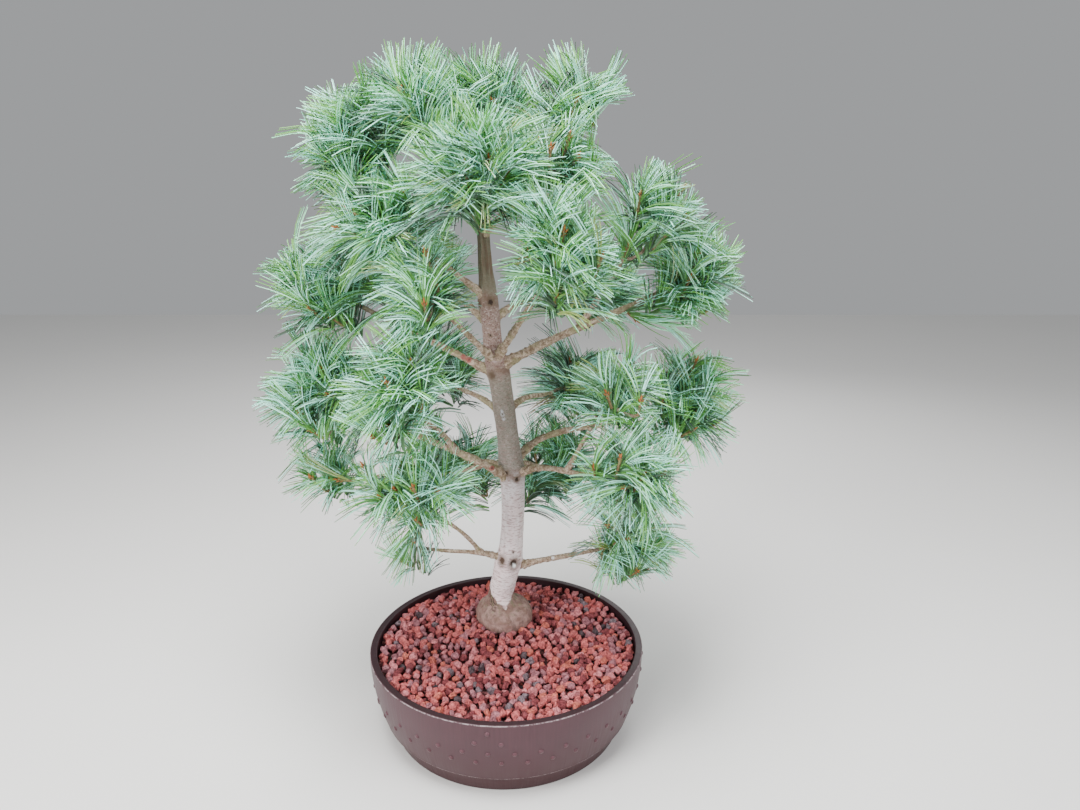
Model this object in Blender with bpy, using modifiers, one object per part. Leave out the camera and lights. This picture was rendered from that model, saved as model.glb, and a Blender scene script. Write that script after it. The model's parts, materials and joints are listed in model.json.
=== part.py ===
"""Japanese white pine bonsai in its round pot, as separate solids.

Metres, +Z up. The origin is the middle of the pot's flat underside, and -Y is the side it is shown from.
The trunk is a tapering stem from a flat cut at soil level to its tip. Each bough is one limb, and each
mass of needles is one solid that starts 0.3 mm from its bough's tip and keeps to its own space.
"""

import math
import random

import bmesh
import bpy
import numpy as np
from mathutils import Matrix, Vector

# Pot
RIM_R = 0.175
POT_HEIGHT = 0.108
LIP_WIDTH = 0.009
FOOT_R = 0.147
FOOT_TOP_R = 0.1555
FOOT_HEIGHT = 0.024
LEDGE_R = 0.1605
LEDGE_HEIGHT = 0.0265
FLOOR_THICKNESS = 0.008
INNER_FLOOR_R = 0.138
WALL_BULGE = 2.0
WALL_RINGS = 5
POT_STEPS = 40

# Every piece that rests on another stays this clear of it, and points nearer than WELD are one
GAP = 0.0003
WELD = 0.000002

# Soil
SOIL_EDGE_DROP = 0.006
SOIL_RISE_R = 0.06
SOIL_ROUGHNESS = 0.0012
SOIL_RINGS = 10
LUMP_HEIGHT = 0.0052
LUMP_SPACING = 0.033
SOIL_SEED = 5
SEAT_R = 0.052
SEAT_Z = 0.112

# Trunk: height, sideways place and thickness at each station, and how far behind the pot's middle it stands
TRUNK_STATIONS = (
    (0.104, -0.0040, 0.066),
    (0.118, -0.0048, 0.064),
    (0.134, -0.0082, 0.047),
    (0.149, -0.0096, 0.0350),
    (0.166, -0.0064, 0.0342),
    (0.183, -0.0020, 0.0335),
    (0.227, 0.0054, 0.0300),
    (0.263, 0.0077, 0.0292),
    (0.314, 0.0078, 0.0303),
    (0.381, 0.0018, 0.0272),
    (0.438, -0.0048, 0.0270),
    (0.493, -0.0137, 0.0235),
    (0.545, -0.0180, 0.0210),
    (0.598, -0.0219, 0.0156),
    (0.645, -0.0222, 0.0128),
    (0.708, -0.0130, 0.0080),
)
TRUNK_FOOT_Y = 0.044
TRUNK_LEAN = -0.036  # a metre of height brings the trunk this much towards the front
TRUNK_SIDES = 12
TRUNK_RINGS = 21
RINGS_CROWD = 1.15  # over 1, so that rings lie closer together at the trunk's foot
KNOT_SHARE = 0.2
WHORLS = (0.200, 0.326, 0.462, 0.546, 0.632)
WHORL_SWELL = 0.10
WHORL_LENGTH = 0.014
# The swollen foot: each bulge's bearing, how far out its middle lies, and its radius
ROOT_BULGES = ((150, 0.012, 0.027), (265, 0.013, 0.026), (335, 0.016, 0.022), (40, 0.012, 0.026))
ROOT_BULGE_Z = 0.121
ROOT_BULGE_SQUASH = 0.8
ROOT_BULGE_SIDES = 8
ROOT_BULGE_RINGS = 6

# Boughs
BOUGH_SIDES = 5
BOUGH_RINGS = 6
BOUGH_TIP_SHARE = 0.55
STRAIGHT = 0.003  # a limb leaves and arrives straight for this length
STRAIGHT_SHARE = 0.2
PULL = 0.3  # how far a curve's handles reach, as a share of its span
FACETED = 0.94  # how much nearer a five-sided limb's flats lie than its corners, on average
COLLAR_REACH = 0.004
COLLAR_FLARE = 1.5
COLLAR_ROOT = 0.006
ENTRY = 0.72  # a bough ends this far out from its mass's middle, as a share of the mass's half sizes
LONGEST_STEM_SHARE = 0.8
ARRIVAL_TURN = 0.25

# Crown: masses are placed by bearing and reach round one upright axis; bearing 0 is +X and 90 is the back
CROWN_AXIS = (0.0, 0.035)
HEART = 0.22  # a mass's stem stops this share of the way short of its middle
STEM_RINGS = 5
STEM_SIDES = 3
STEM_R = 0.0024
STEM_TAPER = 0.3
TWIG_R = 0.0016
TWIG_TIP_R = 0.0010
TWIG_EARLY = 0.004  # each ring further along the stem must save a twig this much length
TWIG_TO_CORE = 0.35
NEEDLE = 0.062
# A spray's slim core, whose faces are drawn out into needles
SPINDLE_R = 0.0080
SPINDLE_LENGTH = 0.030
SPINDLE_SIDES = 6
SPINDLE_RINGS = 5
# Where sprays stand in a mass, as shares of its half sizes, and which of the tried places is the best
SPRAY_TRIES = 40
SPRAY_DEPTH = (0.36, 0.50)
SPRAY_MARGIN = 0.12
FAR_ENOUGH = 0.05
OUTWARD_WORTH = 0.010
UPWARD_WORTH = 0.008
# A spray points away from its mass's middle, away from the trunk, and up
AIM_TURN = 0.75
AIM_OUTWARD = 0.35
AIM_UP = 0.5
# Needles sweep from nearly straight ahead at the spray's front to backwards at its foot
BACK_ANGLE = math.radians(116)
FRONT_ANGLE = math.radians(8)
DROOP = 0.16
SWEEP_JITTER = 0.10
SIDE_JITTER = 0.12
# The lengths that a needle tries, and the shares of its length at which it is tested
SHORTER = tuple(1 - 0.06 * i for i in range(10))
NEEDLE_STEPS = (0.4, 0.7, 1.0)
APART_STEPS = tuple(0.2 + 0.8 * i / 9 for i in range(10))
# How far out a needle may reach, in half sizes: an inward one may fill the crown's inside
OUTER_LIMITS = (0.95, 1.0)
INNER_LIMIT = 1.16
INWARD = -0.1
BARE_FOOT = 0.75
SPACE_MARGIN = 0.045
LIMB_MARGIN = 0.0016
NEEDLE_APART = 0.0034

# name: parent, place on it (height on the trunk, or share of a bough), bearing, rise, thickness
# then the mass: bearing, reach, height, half width, half depth, half height, sprays
BOUGHS = {
    "low_left": (("trunk", 0.202, 205, 24, 0.0075), (196, 0.126, 0.238, 0.040, 0.042, 0.048, 2)),
    "low_right": (("trunk", 0.189, 350, 18, 0.0094), (351, 0.158, 0.238, 0.068, 0.062, 0.062, 3)),
    "left_tip_mid": (("trunk", 0.315, 222, 36, 0.0112), (188, 0.215, 0.434, 0.078, 0.074, 0.072, 4)),
    "left_front_mid": (("left_tip_mid", 0.42, 232, 55, 0.0076), (236, 0.187, 0.468, 0.064, 0.068, 0.070, 4)),
    "left_front_low": (("low_left", 0.30, 212, 56, 0.0060), (234, 0.167, 0.352, 0.072, 0.064, 0.052, 3)),
    "left_tip_low": (("left_tip_mid", 0.28, 204, -18, 0.0066), (190, 0.212, 0.328, 0.063, 0.058, 0.044, 3)),
    "right_front_low": (("trunk", 0.321, 325, 27, 0.0092), (322, 0.188, 0.362, 0.073, 0.064, 0.056, 3)),
    "right_front_mid": (("right_front_low", 0.55, 318, 62, 0.0064), (319, 0.161, 0.46, 0.058, 0.062, 0.057, 3)),
    "right_tip_mid": (("trunk", 0.337, 32, 34, 0.0096), (359, 0.220, 0.420, 0.074, 0.074, 0.078, 4)),
    "back_low_left": (("trunk", 0.322, 128, 10, 0.0080), (125, 0.154, 0.300, 0.070, 0.062, 0.060, 3)),
    "back_low_right": (("trunk", 0.326, 70, 2, 0.0080), (62, 0.138, 0.290, 0.068, 0.062, 0.060, 3)),
    "back_mid_left": (("trunk", 0.398, 132, 22, 0.0085), (129, 0.176, 0.424, 0.076, 0.068, 0.068, 3)),
    "back_mid_right": (("trunk", 0.404, 55, 18, 0.0085), (57, 0.165, 0.405, 0.076, 0.068, 0.070, 3)),
    "left_tip_high": (("trunk", 0.452, 186, 30, 0.0098), (184, 0.212, 0.562, 0.070, 0.072, 0.068, 3)),
    "left_front_high": (("trunk", 0.471, 238, 36, 0.0084), (241, 0.155, 0.572, 0.054, 0.060, 0.052, 3)),
    "right_front_high": (("trunk", 0.474, 296, 38, 0.0100), (291, 0.177, 0.610, 0.064, 0.068, 0.070, 4)),
    "right_tip_high": (("trunk", 0.463, 350, 30, 0.0118), (357, 0.224, 0.574, 0.066, 0.074, 0.062, 3)),
    "right_mid_high": (("right_tip_high", 0.48, 350, 58, 0.0080), (344, 0.176, 0.652, 0.07, 0.068, 0.064, 3)),
    "back_high_left": (("trunk", 0.515, 140, 30, 0.0090), (134, 0.172, 0.567, 0.078, 0.070, 0.074, 3)),
    "back_high_right": (("trunk", 0.520, 40, 26, 0.0090), (48, 0.168, 0.550, 0.078, 0.070, 0.074, 3)),
    "left_mid_high": (("trunk", 0.546, 210, 40, 0.0080), (211, 0.146, 0.642, 0.064, 0.068, 0.056, 3)),
    "left_shoulder": (("trunk", 0.628, 196, 40, 0.0095), (189, 0.170, 0.712, 0.066, 0.076, 0.074, 3)),
    "top_left": (("left_shoulder", 0.40, 196, 72, 0.0070), (205, 0.096, 0.766, 0.070, 0.068, 0.056, 3)),
    "top_front": (("trunk", 0.634, 262, 34, 0.0080), (261, 0.136, 0.700, 0.072, 0.068, 0.064, 3)),
    "top_right": (("trunk", 0.648, 345, 46, 0.0080), (340, 0.090, 0.764, 0.064, 0.066, 0.060, 3)),
    "right_neck": (("trunk", 0.622, 310, 36, 0.0072), (304, 0.115, 0.699, 0.056, 0.060, 0.050, 3)),
    "back_top": (("trunk", 0.630, 92, 38, 0.0085), (94, 0.118, 0.705, 0.080, 0.070, 0.070, 4)),
    "top_middle": (None, (180, 0.005, 0.766, 0.062, 0.070, 0.057, 3)),
}

PARTS = "japanese_white_pine_bonsai"


def clear_scene():
    for obj in list(bpy.data.objects):
        bpy.data.objects.remove(obj, do_unlink=True)


def new_collection(name, helper=False):
    made = bpy.data.collections.new(name)
    made.hide_render = helper
    bpy.context.scene.collection.children.link(made)
    return made


def new_material(name, colour, roughness, metallic=0.0):
    made = bpy.data.materials.new(name)
    made.use_nodes = True
    made.diffuse_color = (*colour, 1.0)
    shader = made.node_tree.nodes["Principled BSDF"]
    shader.inputs["Base Color"].default_value = (*colour, 1.0)
    shader.inputs["Roughness"].default_value = roughness
    shader.inputs["Metallic"].default_value = metallic
    return made


def new_object(name, mesh, collection, material):
    made = bpy.data.objects.new(name, mesh)
    collection.objects.link(made)
    made.data.materials.clear()
    made.data.materials.append(material)
    return made


def bearing_vector(bearing, rise=0.0):
    """The unit direction with this bearing and rise, both in degrees."""
    turn = math.radians(bearing)
    lift = math.radians(rise)
    return Vector((math.cos(turn) * math.cos(lift), math.sin(turn) * math.cos(lift), math.sin(lift)))


def bezier(start, first, second, end, count):
    points = []
    for i in range(count):
        t = i / (count - 1)
        s = 1 - t
        points.append(s**3 * start + 3 * s * s * t * first + 3 * s * t * t * second + t**3 * end)
    return points


def limb_line(start, ahead, end, arriving, count):
    """A smooth run that leaves and arrives straight, so that its two end faces lie square."""
    reach = (end - start).length
    lead = min(STRAIGHT, reach * STRAIGHT_SHARE)
    first = start + ahead * lead
    last = end - arriving * lead
    pull = reach * PULL
    middle = bezier(first, first + ahead * pull, last - arriving * pull, last, count - 2)
    return [start, *middle, end]


def evaluated_mesh(obj):
    """The object's mesh with its modifiers or bevel applied, points on one another made one."""
    graph = bpy.context.evaluated_depsgraph_get()
    mesh = bpy.data.meshes.new_from_object(obj.evaluated_get(graph))
    shape = bmesh.new()
    shape.from_mesh(mesh)
    bmesh.ops.remove_doubles(shape, verts=shape.verts, dist=WELD)
    bmesh.ops.recalc_face_normals(shape, faces=shape.faces)
    shape.to_mesh(mesh)
    shape.free()
    return mesh


def ring_curve(sides, helpers):
    """A closed flat ring of radius 1, the section of every tube with this many sides."""
    name = f"ring_{sides}"
    if name in bpy.data.objects:
        return bpy.data.objects[name]
    data = bpy.data.curves.new(name, "CURVE")
    data.dimensions = "2D"
    spline = data.splines.new("POLY")
    spline.points.add(sides - 1)
    for i, point in enumerate(spline.points):
        angle = 2 * math.pi * i / sides
        point.co = (math.cos(angle), math.sin(angle), 0.0, 1.0)
    spline.use_cyclic_u = True
    ring = bpy.data.objects.new(name, data)
    ring.hide_render = True
    helpers.objects.link(ring)
    return ring


def tube(name, points, radii, sides, collection, helpers, material):
    """A closed tube through the points, with a radius at each."""
    data = bpy.data.curves.new(name, "CURVE")
    data.dimensions = "3D"
    data.twist_mode = "MINIMUM"
    data.bevel_mode = "OBJECT"
    data.bevel_object = ring_curve(sides, helpers)
    data.use_fill_caps = True
    spline = data.splines.new("POLY")
    spline.points.add(len(points) - 1)
    for target, place, radius in zip(spline.points, points, radii):
        target.co = (*place, 1.0)
        target.radius = radius
    guide = bpy.data.objects.new(name + "_guide", data)
    helpers.objects.link(guide)
    mesh = evaluated_mesh(guide)
    bpy.data.objects.remove(guide, do_unlink=True)
    bpy.data.curves.remove(data)
    mesh.name = name
    return new_object(name, mesh, collection, material)


def fuse(base, others, solver="EXACT"):
    """Joins the collection's objects to base with one Boolean union, and removes them."""
    union = base.modifiers.new("fuse", "BOOLEAN")
    union.operation = "UNION"
    union.operand_type = "COLLECTION"
    union.collection = others
    union.solver = solver
    graph = bpy.context.evaluated_depsgraph_get()
    mesh = bpy.data.meshes.new_from_object(base.evaluated_get(graph))
    base.modifiers.clear()
    base.data = mesh
    for obj in list(others.objects):
        bpy.data.objects.remove(obj, do_unlink=True)
    bpy.data.collections.remove(others)
    keep_outer_shell(mesh)


def shell_volume(faces):
    total = 0.0
    for face in faces:
        first = face.verts[0].co
        for second, third in zip(face.verts[1:], face.verts[2:]):
            total += first.dot(second.co.cross(third.co)) / 6
    return total


def keep_outer_shell(mesh):
    """Drops sealed hollows and loose scraps, so that one closed body is left."""
    shape = bmesh.new()
    shape.from_mesh(mesh)
    bmesh.ops.remove_doubles(shape, verts=shape.verts, dist=WELD)
    bmesh.ops.dissolve_degenerate(shape, edges=shape.edges, dist=WELD)
    left = set(shape.faces)
    shells = []
    while left:
        first = left.pop()
        shell = {first}
        waiting = [first]
        while waiting:
            for edge in waiting.pop().edges:
                for face in edge.link_faces:
                    if face in left:
                        left.remove(face)
                        shell.add(face)
                        waiting.append(face)
        shells.append(shell)
    shells.sort(key=shell_volume, reverse=True)
    loose = [face for shell in shells[1:] for face in shell]
    bmesh.ops.delete(shape, geom=loose, context="FACES")
    bmesh.ops.triangulate(shape, faces=shape.faces)
    shape.to_mesh(mesh)
    shape.free()


# Pot and soil


def turned(name, profile, steps, collection, material):
    """A profile of (radius, height), from the inside over the rim and down, turned about Z."""
    shape = bmesh.new()
    last = None
    for radius, height in profile:
        vertex = shape.verts.new((radius, 0.0, height))
        if last:
            shape.edges.new((last, vertex))
        last = vertex
    mesh = bpy.data.meshes.new(name)
    shape.to_mesh(mesh)
    shape.free()
    obj = new_object(name, mesh, collection, material)
    turn = obj.modifiers.new("turn", "SCREW")
    turn.steps = steps
    turn.render_steps = steps
    turn.use_merge_vertices = True
    turn.merge_threshold = WELD
    return obj


def wall_radius(height):
    """The outer wall's radius at a height above the ledge: it swells quickly, then runs up to the rim."""
    share = (height - LEDGE_HEIGHT) / (POT_HEIGHT - LEDGE_HEIGHT)
    return RIM_R - (RIM_R - LEDGE_R) * (1 - share) ** WALL_BULGE


def inner_radius(height):
    """The inner wall follows the outer one, one lip's width in, and closes to the floor."""
    share = (height - FLOOR_THICKNESS) / (POT_HEIGHT - FLOOR_THICKNESS)
    return RIM_R - LIP_WIDTH - (RIM_R - LIP_WIDTH - INNER_FLOOR_R) * (1 - share) ** WALL_BULGE


def make_pot(collection, material):
    profile = [(0.0, FLOOR_THICKNESS)]
    for i in range(WALL_RINGS):
        height = FLOOR_THICKNESS + (POT_HEIGHT - FLOOR_THICKNESS) * i / (WALL_RINGS - 1)
        profile.append((inner_radius(height), height))
    for i in range(WALL_RINGS):
        height = POT_HEIGHT - (POT_HEIGHT - LEDGE_HEIGHT) * i / (WALL_RINGS - 1)
        profile.append((wall_radius(height), height))
    profile += [(FOOT_TOP_R, FOOT_HEIGHT), (FOOT_R, 0.0), (0.0, 0.0)]
    return turned("pot", profile, POT_STEPS, collection, material)


def soil_height(x, y):
    """The soil rises from its edge to the flat seat under the trunk."""
    away = math.hypot(x - trunk_place(SEAT_Z)[0], y - trunk_place(SEAT_Z)[1])
    share = min(max((away - SEAT_R) / SOIL_RISE_R, 0.0), 1.0)
    edge = POT_HEIGHT - SOIL_EDGE_DROP
    return SEAT_Z - GAP - (SEAT_Z - GAP - edge) * share * share * (3 - 2 * share)


def hollow_depth(x, y, ring):
    """How deep the grit lies between its lumps, which take turns from ring to ring."""
    lumps = min(round(2 * math.pi * math.hypot(x, y) / LUMP_SPACING), POT_STEPS // 2)
    turn = math.atan2(y, x) * lumps + math.pi * ring
    return LUMP_HEIGHT * (1 - math.cos(turn)) / 2


def make_soil(collection, material):
    edge = POT_HEIGHT - SOIL_EDGE_DROP
    bottom = FLOOR_THICKNESS + GAP
    wide = chord_radius(edge) - GAP
    profile = [(wide * i / SOIL_RINGS, edge) for i in range(SOIL_RINGS + 1)]
    for i in range(1, WALL_RINGS):
        height = edge + (bottom - edge) * i / (WALL_RINGS - 1)
        profile.append((chord_radius(height) - GAP, height))
    profile.append((0.0, bottom))
    soil = turned("soil", profile, POT_STEPS, collection, material)
    mesh = evaluated_mesh(soil)
    soil.modifiers.clear()
    soil.data = mesh
    rng = random.Random(SOIL_SEED)
    seat = Vector(trunk_place(SEAT_Z)[:2])
    for vertex in mesh.vertices:
        if vertex.co.z < edge - GAP:
            continue
        away = vertex.co.xy.length
        rough = rng.uniform(0.0, SOIL_ROUGHNESS)
        rough += hollow_depth(vertex.co.x, vertex.co.y, round(away / wide * SOIL_RINGS))
        if (vertex.co.xy - seat).length < SEAT_R or away > wide - SOIL_ROUGHNESS:
            rough = 0.0
        vertex.co.z = soil_height(vertex.co.x, vertex.co.y) - rough
    return soil


def chord_radius(height):
    """The radius of the pot's own inner facets, which run straight from ring to ring."""
    rise = (POT_HEIGHT - FLOOR_THICKNESS) / (WALL_RINGS - 1)
    ring = min(int((height - FLOOR_THICKNESS) / rise), WALL_RINGS - 2)
    low = FLOOR_THICKNESS + ring * rise
    share = (height - low) / rise
    return inner_radius(low) * (1 - share) + inner_radius(low + rise) * share


# Trunk


def trunk_place(height):
    """The trunk's middle and radius at a height: blended stations, with a swelling at each whorl."""
    heights = np.array([station[0] for station in TRUNK_STATIONS])
    i = int(np.clip(np.searchsorted(heights, height) - 1, 0, len(heights) - 2))
    share = (height - heights[i]) / (heights[i + 1] - heights[i])
    values = []
    for column in (1, 2):
        knots = [TRUNK_STATIONS[min(max(j, 0), len(heights) - 1)] for j in range(i - 1, i + 3)]
        values.append(catmull([knot[column] for knot in knots], [knot[0] for knot in knots], share))
    swell = sum(math.exp(-(((height - whorl) / WHORL_LENGTH) ** 2)) for whorl in WHORLS)
    radius = values[1] / 2 * (1 + WHORL_SWELL * swell)
    depth = TRUNK_FOOT_Y + TRUNK_LEAN * (height - SEAT_Z)
    return values[0], depth, radius


def catmull(values, knots, share):
    """A smooth value between the middle two of four knots."""
    span = knots[2] - knots[1]
    before = max(knots[1] - knots[0], span * KNOT_SHARE)
    after = max(knots[3] - knots[2], span * KNOT_SHARE)
    first = ((values[1] - values[0]) / before + (values[2] - values[1]) / span) / 2 * span
    last = ((values[2] - values[1]) / span + (values[3] - values[2]) / after) / 2 * span
    s2 = share * share
    s3 = s2 * share
    return (
        (2 * s3 - 3 * s2 + 1) * values[1]
        + (s3 - 2 * s2 + share) * first
        + (3 * s2 - 2 * s3) * values[2]
        + (s3 - s2) * last
    )


def trunk_point(height):
    x, y, _ = trunk_place(height)
    return Vector((x, y, height))


def make_trunk(limbs, collection, helpers, material):
    low = TRUNK_STATIONS[0][0]
    high = TRUNK_STATIONS[-1][0]
    heights = [low + (high - low) * (i / (TRUNK_RINGS - 1)) ** RINGS_CROWD for i in range(TRUNK_RINGS)]
    points = [trunk_point(height) for height in heights]
    radii = [trunk_place(height)[2] for height in heights]
    trunk = tube("trunk", points, radii, TRUNK_SIDES, collection, helpers, material)
    extras = new_collection("trunk_extras", helper=True)
    for bearing, out, size in ROOT_BULGES:
        make_root_bulge(bearing, out, size, extras, material)
    for limb in limbs.values():
        if limb["parent"] == "trunk":
            foot = limb["points"][0]
            ahead = limb["first"]
            root = foot - ahead * (limb["out"] + COLLAR_ROOT)
            face = foot - ahead * GAP
            wide = limb["radii"][0]
            widths = (wide * COLLAR_FLARE, wide)
            tube("collar", (root, face), widths, BOUGH_SIDES, extras, helpers, material)
    fuse(trunk, extras)
    cut_flat(trunk.data, SEAT_Z)
    return trunk


def make_root_bulge(bearing, out, size, collection, material):
    shape = bmesh.new()
    bmesh.ops.create_uvsphere(
        shape, u_segments=ROOT_BULGE_SIDES, v_segments=ROOT_BULGE_RINGS, radius=size
    )
    middle = trunk_point(ROOT_BULGE_Z) + bearing_vector(bearing) * out
    for vertex in shape.verts:
        vertex.co.z *= ROOT_BULGE_SQUASH
        vertex.co += middle
    mesh = bpy.data.meshes.new("root_bulge")
    shape.to_mesh(mesh)
    shape.free()
    new_object("root_bulge", mesh, collection, material)


def cut_flat(mesh, height):
    """Cuts everything below the height away and closes the cut."""
    shape = bmesh.new()
    shape.from_mesh(mesh)
    bmesh.ops.bisect_plane(
        shape,
        geom=shape.verts[:] + shape.edges[:] + shape.faces[:],
        plane_co=(0.0, 0.0, height),
        plane_no=(0.0, 0.0, 1.0),
        clear_inner=True,
    )
    rim = [edge for edge in shape.edges if edge.is_boundary]
    bmesh.ops.holes_fill(shape, edges=rim)
    bmesh.ops.triangulate(shape, faces=shape.faces)
    bmesh.ops.recalc_face_normals(shape, faces=shape.faces)
    shape.to_mesh(mesh)
    shape.free()


# Boughs


def mass_middle(mass):
    bearing, reach, height = mass[:3]
    return Vector((*CROWN_AXIS, height)) + bearing_vector(bearing) * reach


def plan_limb(name, limbs):
    """Works out a bough's points and radii, from its foot on its parent to where it enters its mass."""
    growth, mass = BOUGHS[name]
    parent, place, bearing, rise, thickness = growth
    first = bearing_vector(bearing, rise)
    radius = thickness / 2
    if parent == "trunk":
        x, y, stem_radius = trunk_place(place)
        lift = math.radians(rise)
        out = (stem_radius + COLLAR_REACH + radius * math.sin(abs(lift))) / math.cos(lift)
        foot = Vector((x, y, place)) + first * out
    else:
        carrier = limbs[parent]
        along = place * (len(carrier["points"]) - 1)
        i = int(along)
        share = along - i
        base = carrier["points"][i].lerp(carrier["points"][i + 1], share)
        wide = carrier["radii"][i] * (1 - share) + carrier["radii"][i + 1] * share
        run = (carrier["points"][i + 1] - carrier["points"][i]).normalized()
        lean = abs(first.dot(run))
        out = (FACETED * (wide + radius * lean) + GAP) / math.sqrt(1 - lean * lean)
        foot = base + first * out
    middle = mass_middle(mass)
    sizes = Vector(mass[3:6])
    inward = foot - middle
    share = ENTRY / math.sqrt(sum((a / b) ** 2 for a, b in zip(inward, sizes)))
    end = middle + inward * min(share, LONGEST_STEM_SHARE)
    last = (middle - end).normalized().lerp(first, ARRIVAL_TURN).normalized()
    points = limb_line(foot, first, end, last, BOUGH_RINGS)
    taper = [1 - (1 - BOUGH_TIP_SHARE) * i / (BOUGH_RINGS - 1) for i in range(BOUGH_RINGS)]
    radii = [radius * share for share in taper]
    return {"parent": parent, "out": out, "first": first, "points": points, "radii": radii}


def plan_stem(name, limbs):
    """The stem of a mass: from 0.3 mm past its bough's tip to the heart of the mass."""
    mass = BOUGHS[name][1]
    middle = mass_middle(mass)
    if name in limbs:
        tip = limbs[name]["points"][-1]
        ahead = (tip - limbs[name]["points"][-2]).normalized()
    else:
        top = TRUNK_STATIONS[-1][0]
        tip = trunk_point(top)
        ahead = (tip - trunk_point(top - STRAIGHT)).normalized()
    start = tip + ahead * GAP
    heart = start.lerp(middle, 1 - HEART)
    return limb_line(start, ahead, heart, (middle - start).normalized(), STEM_RINGS)


# Masses


class Spaces:
    """Says whether points lie in one mass's own space, clear of the limbs."""

    def __init__(self, limbs, stems):
        self.names = list(BOUGHS)
        self.middles = np.array([mass_middle(BOUGHS[name][1]) for name in self.names])
        self.sizes = np.array([BOUGHS[name][1][3:6] for name in self.names])
        starts = []
        ends = []
        radii = []
        owners = []
        heights = np.linspace(SEAT_Z, TRUNK_STATIONS[-1][0], 2 * TRUNK_RINGS)
        chains = [("", [trunk_point(z) for z in heights], [trunk_place(z)[2] for z in heights])]
        chains += [("", limb["points"], limb["radii"]) for limb in limbs.values()]
        chains += [(name, points, [STEM_R] * len(points)) for name, points in stems.items()]
        for owner, points, widths in chains:
            for i in range(len(points) - 1):
                starts.append(points[i])
                ends.append(points[i + 1])
                radii.append(max(widths[i], widths[i + 1]))
                owners.append(owner)
        self.starts = np.array(starts)
        self.runs = np.array(ends) - self.starts
        self.radii = np.array(radii)
        self.owners = np.array(owners)

    def holds(self, name, points, margin=SPACE_MARGIN, limit=1.0):
        """True where every point is nearer to this mass than to any other, and inside it."""
        away = (np.array(points)[:, None, :] - self.middles) / self.sizes
        depth = np.sqrt((away**2).sum(axis=2))
        own = self.names.index(name)
        others = np.delete(depth, own, axis=1).min(axis=1)
        return bool(((depth[:, own] <= limit) & (depth[:, own] < others - margin)).all())

    def clear(self, name, points, widths):
        """True where no point comes near a limb or another mass's stem."""
        theirs = self.owners != name
        starts = self.starts[theirs]
        runs = self.runs[theirs]
        away = np.array(points)[:, None, :] - starts
        along = np.clip((away * runs).sum(axis=2) / (runs**2).sum(axis=1), 0.0, 1.0)
        gap = np.linalg.norm(away - along[:, :, None] * runs, axis=2)
        return bool((gap > self.radii[theirs] + np.array(widths)[:, None] + LIMB_MARGIN).all())


def spray_places(name, spaces, rng):
    """Middles and directions of a mass's sprays, each far from those before it."""
    mass = BOUGHS[name][1]
    middle = mass_middle(mass)
    sizes = Vector(mass[3:6])
    outward = Vector((middle.x - CROWN_AXIS[0], middle.y - CROWN_AXIS[1], 0.0)).normalized()
    chosen = []
    while len(chosen) < mass[6]:
        best = None
        best_score = -1.0
        for _ in range(SPRAY_TRIES):
            turn = Vector([rng.gauss(0, 1) for _ in range(3)]).normalized()
            depth = rng.uniform(*SPRAY_DEPTH)
            place = middle + Vector([a * b * depth for a, b in zip(turn, sizes)])
            if not spaces.holds(name, [place], margin=SPRAY_MARGIN):
                continue
            if not spaces.clear(name, [place], [SPINDLE_R * 2]):
                continue
            score = min([(place - other).length for other, _ in chosen] + [FAR_ENOUGH])
            score += OUTWARD_WORTH * turn.dot(outward) + UPWARD_WORTH * turn.z
            if score > best_score:
                best = (place, turn)
                best_score = score
        if best is None:
            break
        place, turn = best
        ahead = (turn * AIM_TURN + outward * AIM_OUTWARD + Vector((0, 0, AIM_UP))).normalized()
        chosen.append((place, ahead))
    return chosen


def apart(points, lines, least):
    """True where no point comes this near to one of the lines, each a start and an end."""
    if not lines:
        return True
    starts = np.array([line[0] for line in lines])
    runs = np.array([line[1] for line in lines]) - starts
    away = np.array(points)[:, None, :] - starts
    along = np.clip((away * runs).sum(axis=2) / (runs**2).sum(axis=1), 0.0, 1.0)
    return bool((np.linalg.norm(away - along[:, :, None] * runs, axis=2) > least).all())


def needle_aim(local, turn, twist, rng):
    """Where a needle points: forward at the front, swept back at the foot, drooping a little."""
    back = BACK_ANGLE + (FRONT_ANGLE - BACK_ANGLE) * (local.z + 1) / 2
    back += rng.uniform(-SWEEP_JITTER, SWEEP_JITTER)
    side = math.atan2(local.y, local.x) + twist + rng.uniform(-SIDE_JITTER, SIDE_JITTER)
    aim = turn @ Vector((math.sin(back) * math.cos(side), math.sin(back) * math.sin(side), math.cos(back)))
    aim.z -= DROOP * (1 - abs(aim.z))
    return aim.normalized()


def needle_tip(name, root, aim, limit, spaces, taken):
    """The tip of the longest needle from this root that keeps to the mass's space, or None."""
    for share in SHORTER:
        reach = aim * NEEDLE * share
        steps = [root + reach * t for t in NEEDLE_STEPS]
        widths = [SPINDLE_R / 2 * (1 - t) for t in NEEDLE_STEPS]
        if not spaces.holds(name, steps, limit=limit) or not spaces.clear(name, steps, widths):
            continue
        if apart([root + reach * t for t in APART_STEPS], taken, NEEDLE_APART):
            return root + reach
    return None


def rounded_middle(face):
    """A face's middle as a sort key, so that faces take their random draws in the same order each run."""
    return tuple(round(value, 3) for value in face.calc_center_median())


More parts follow.
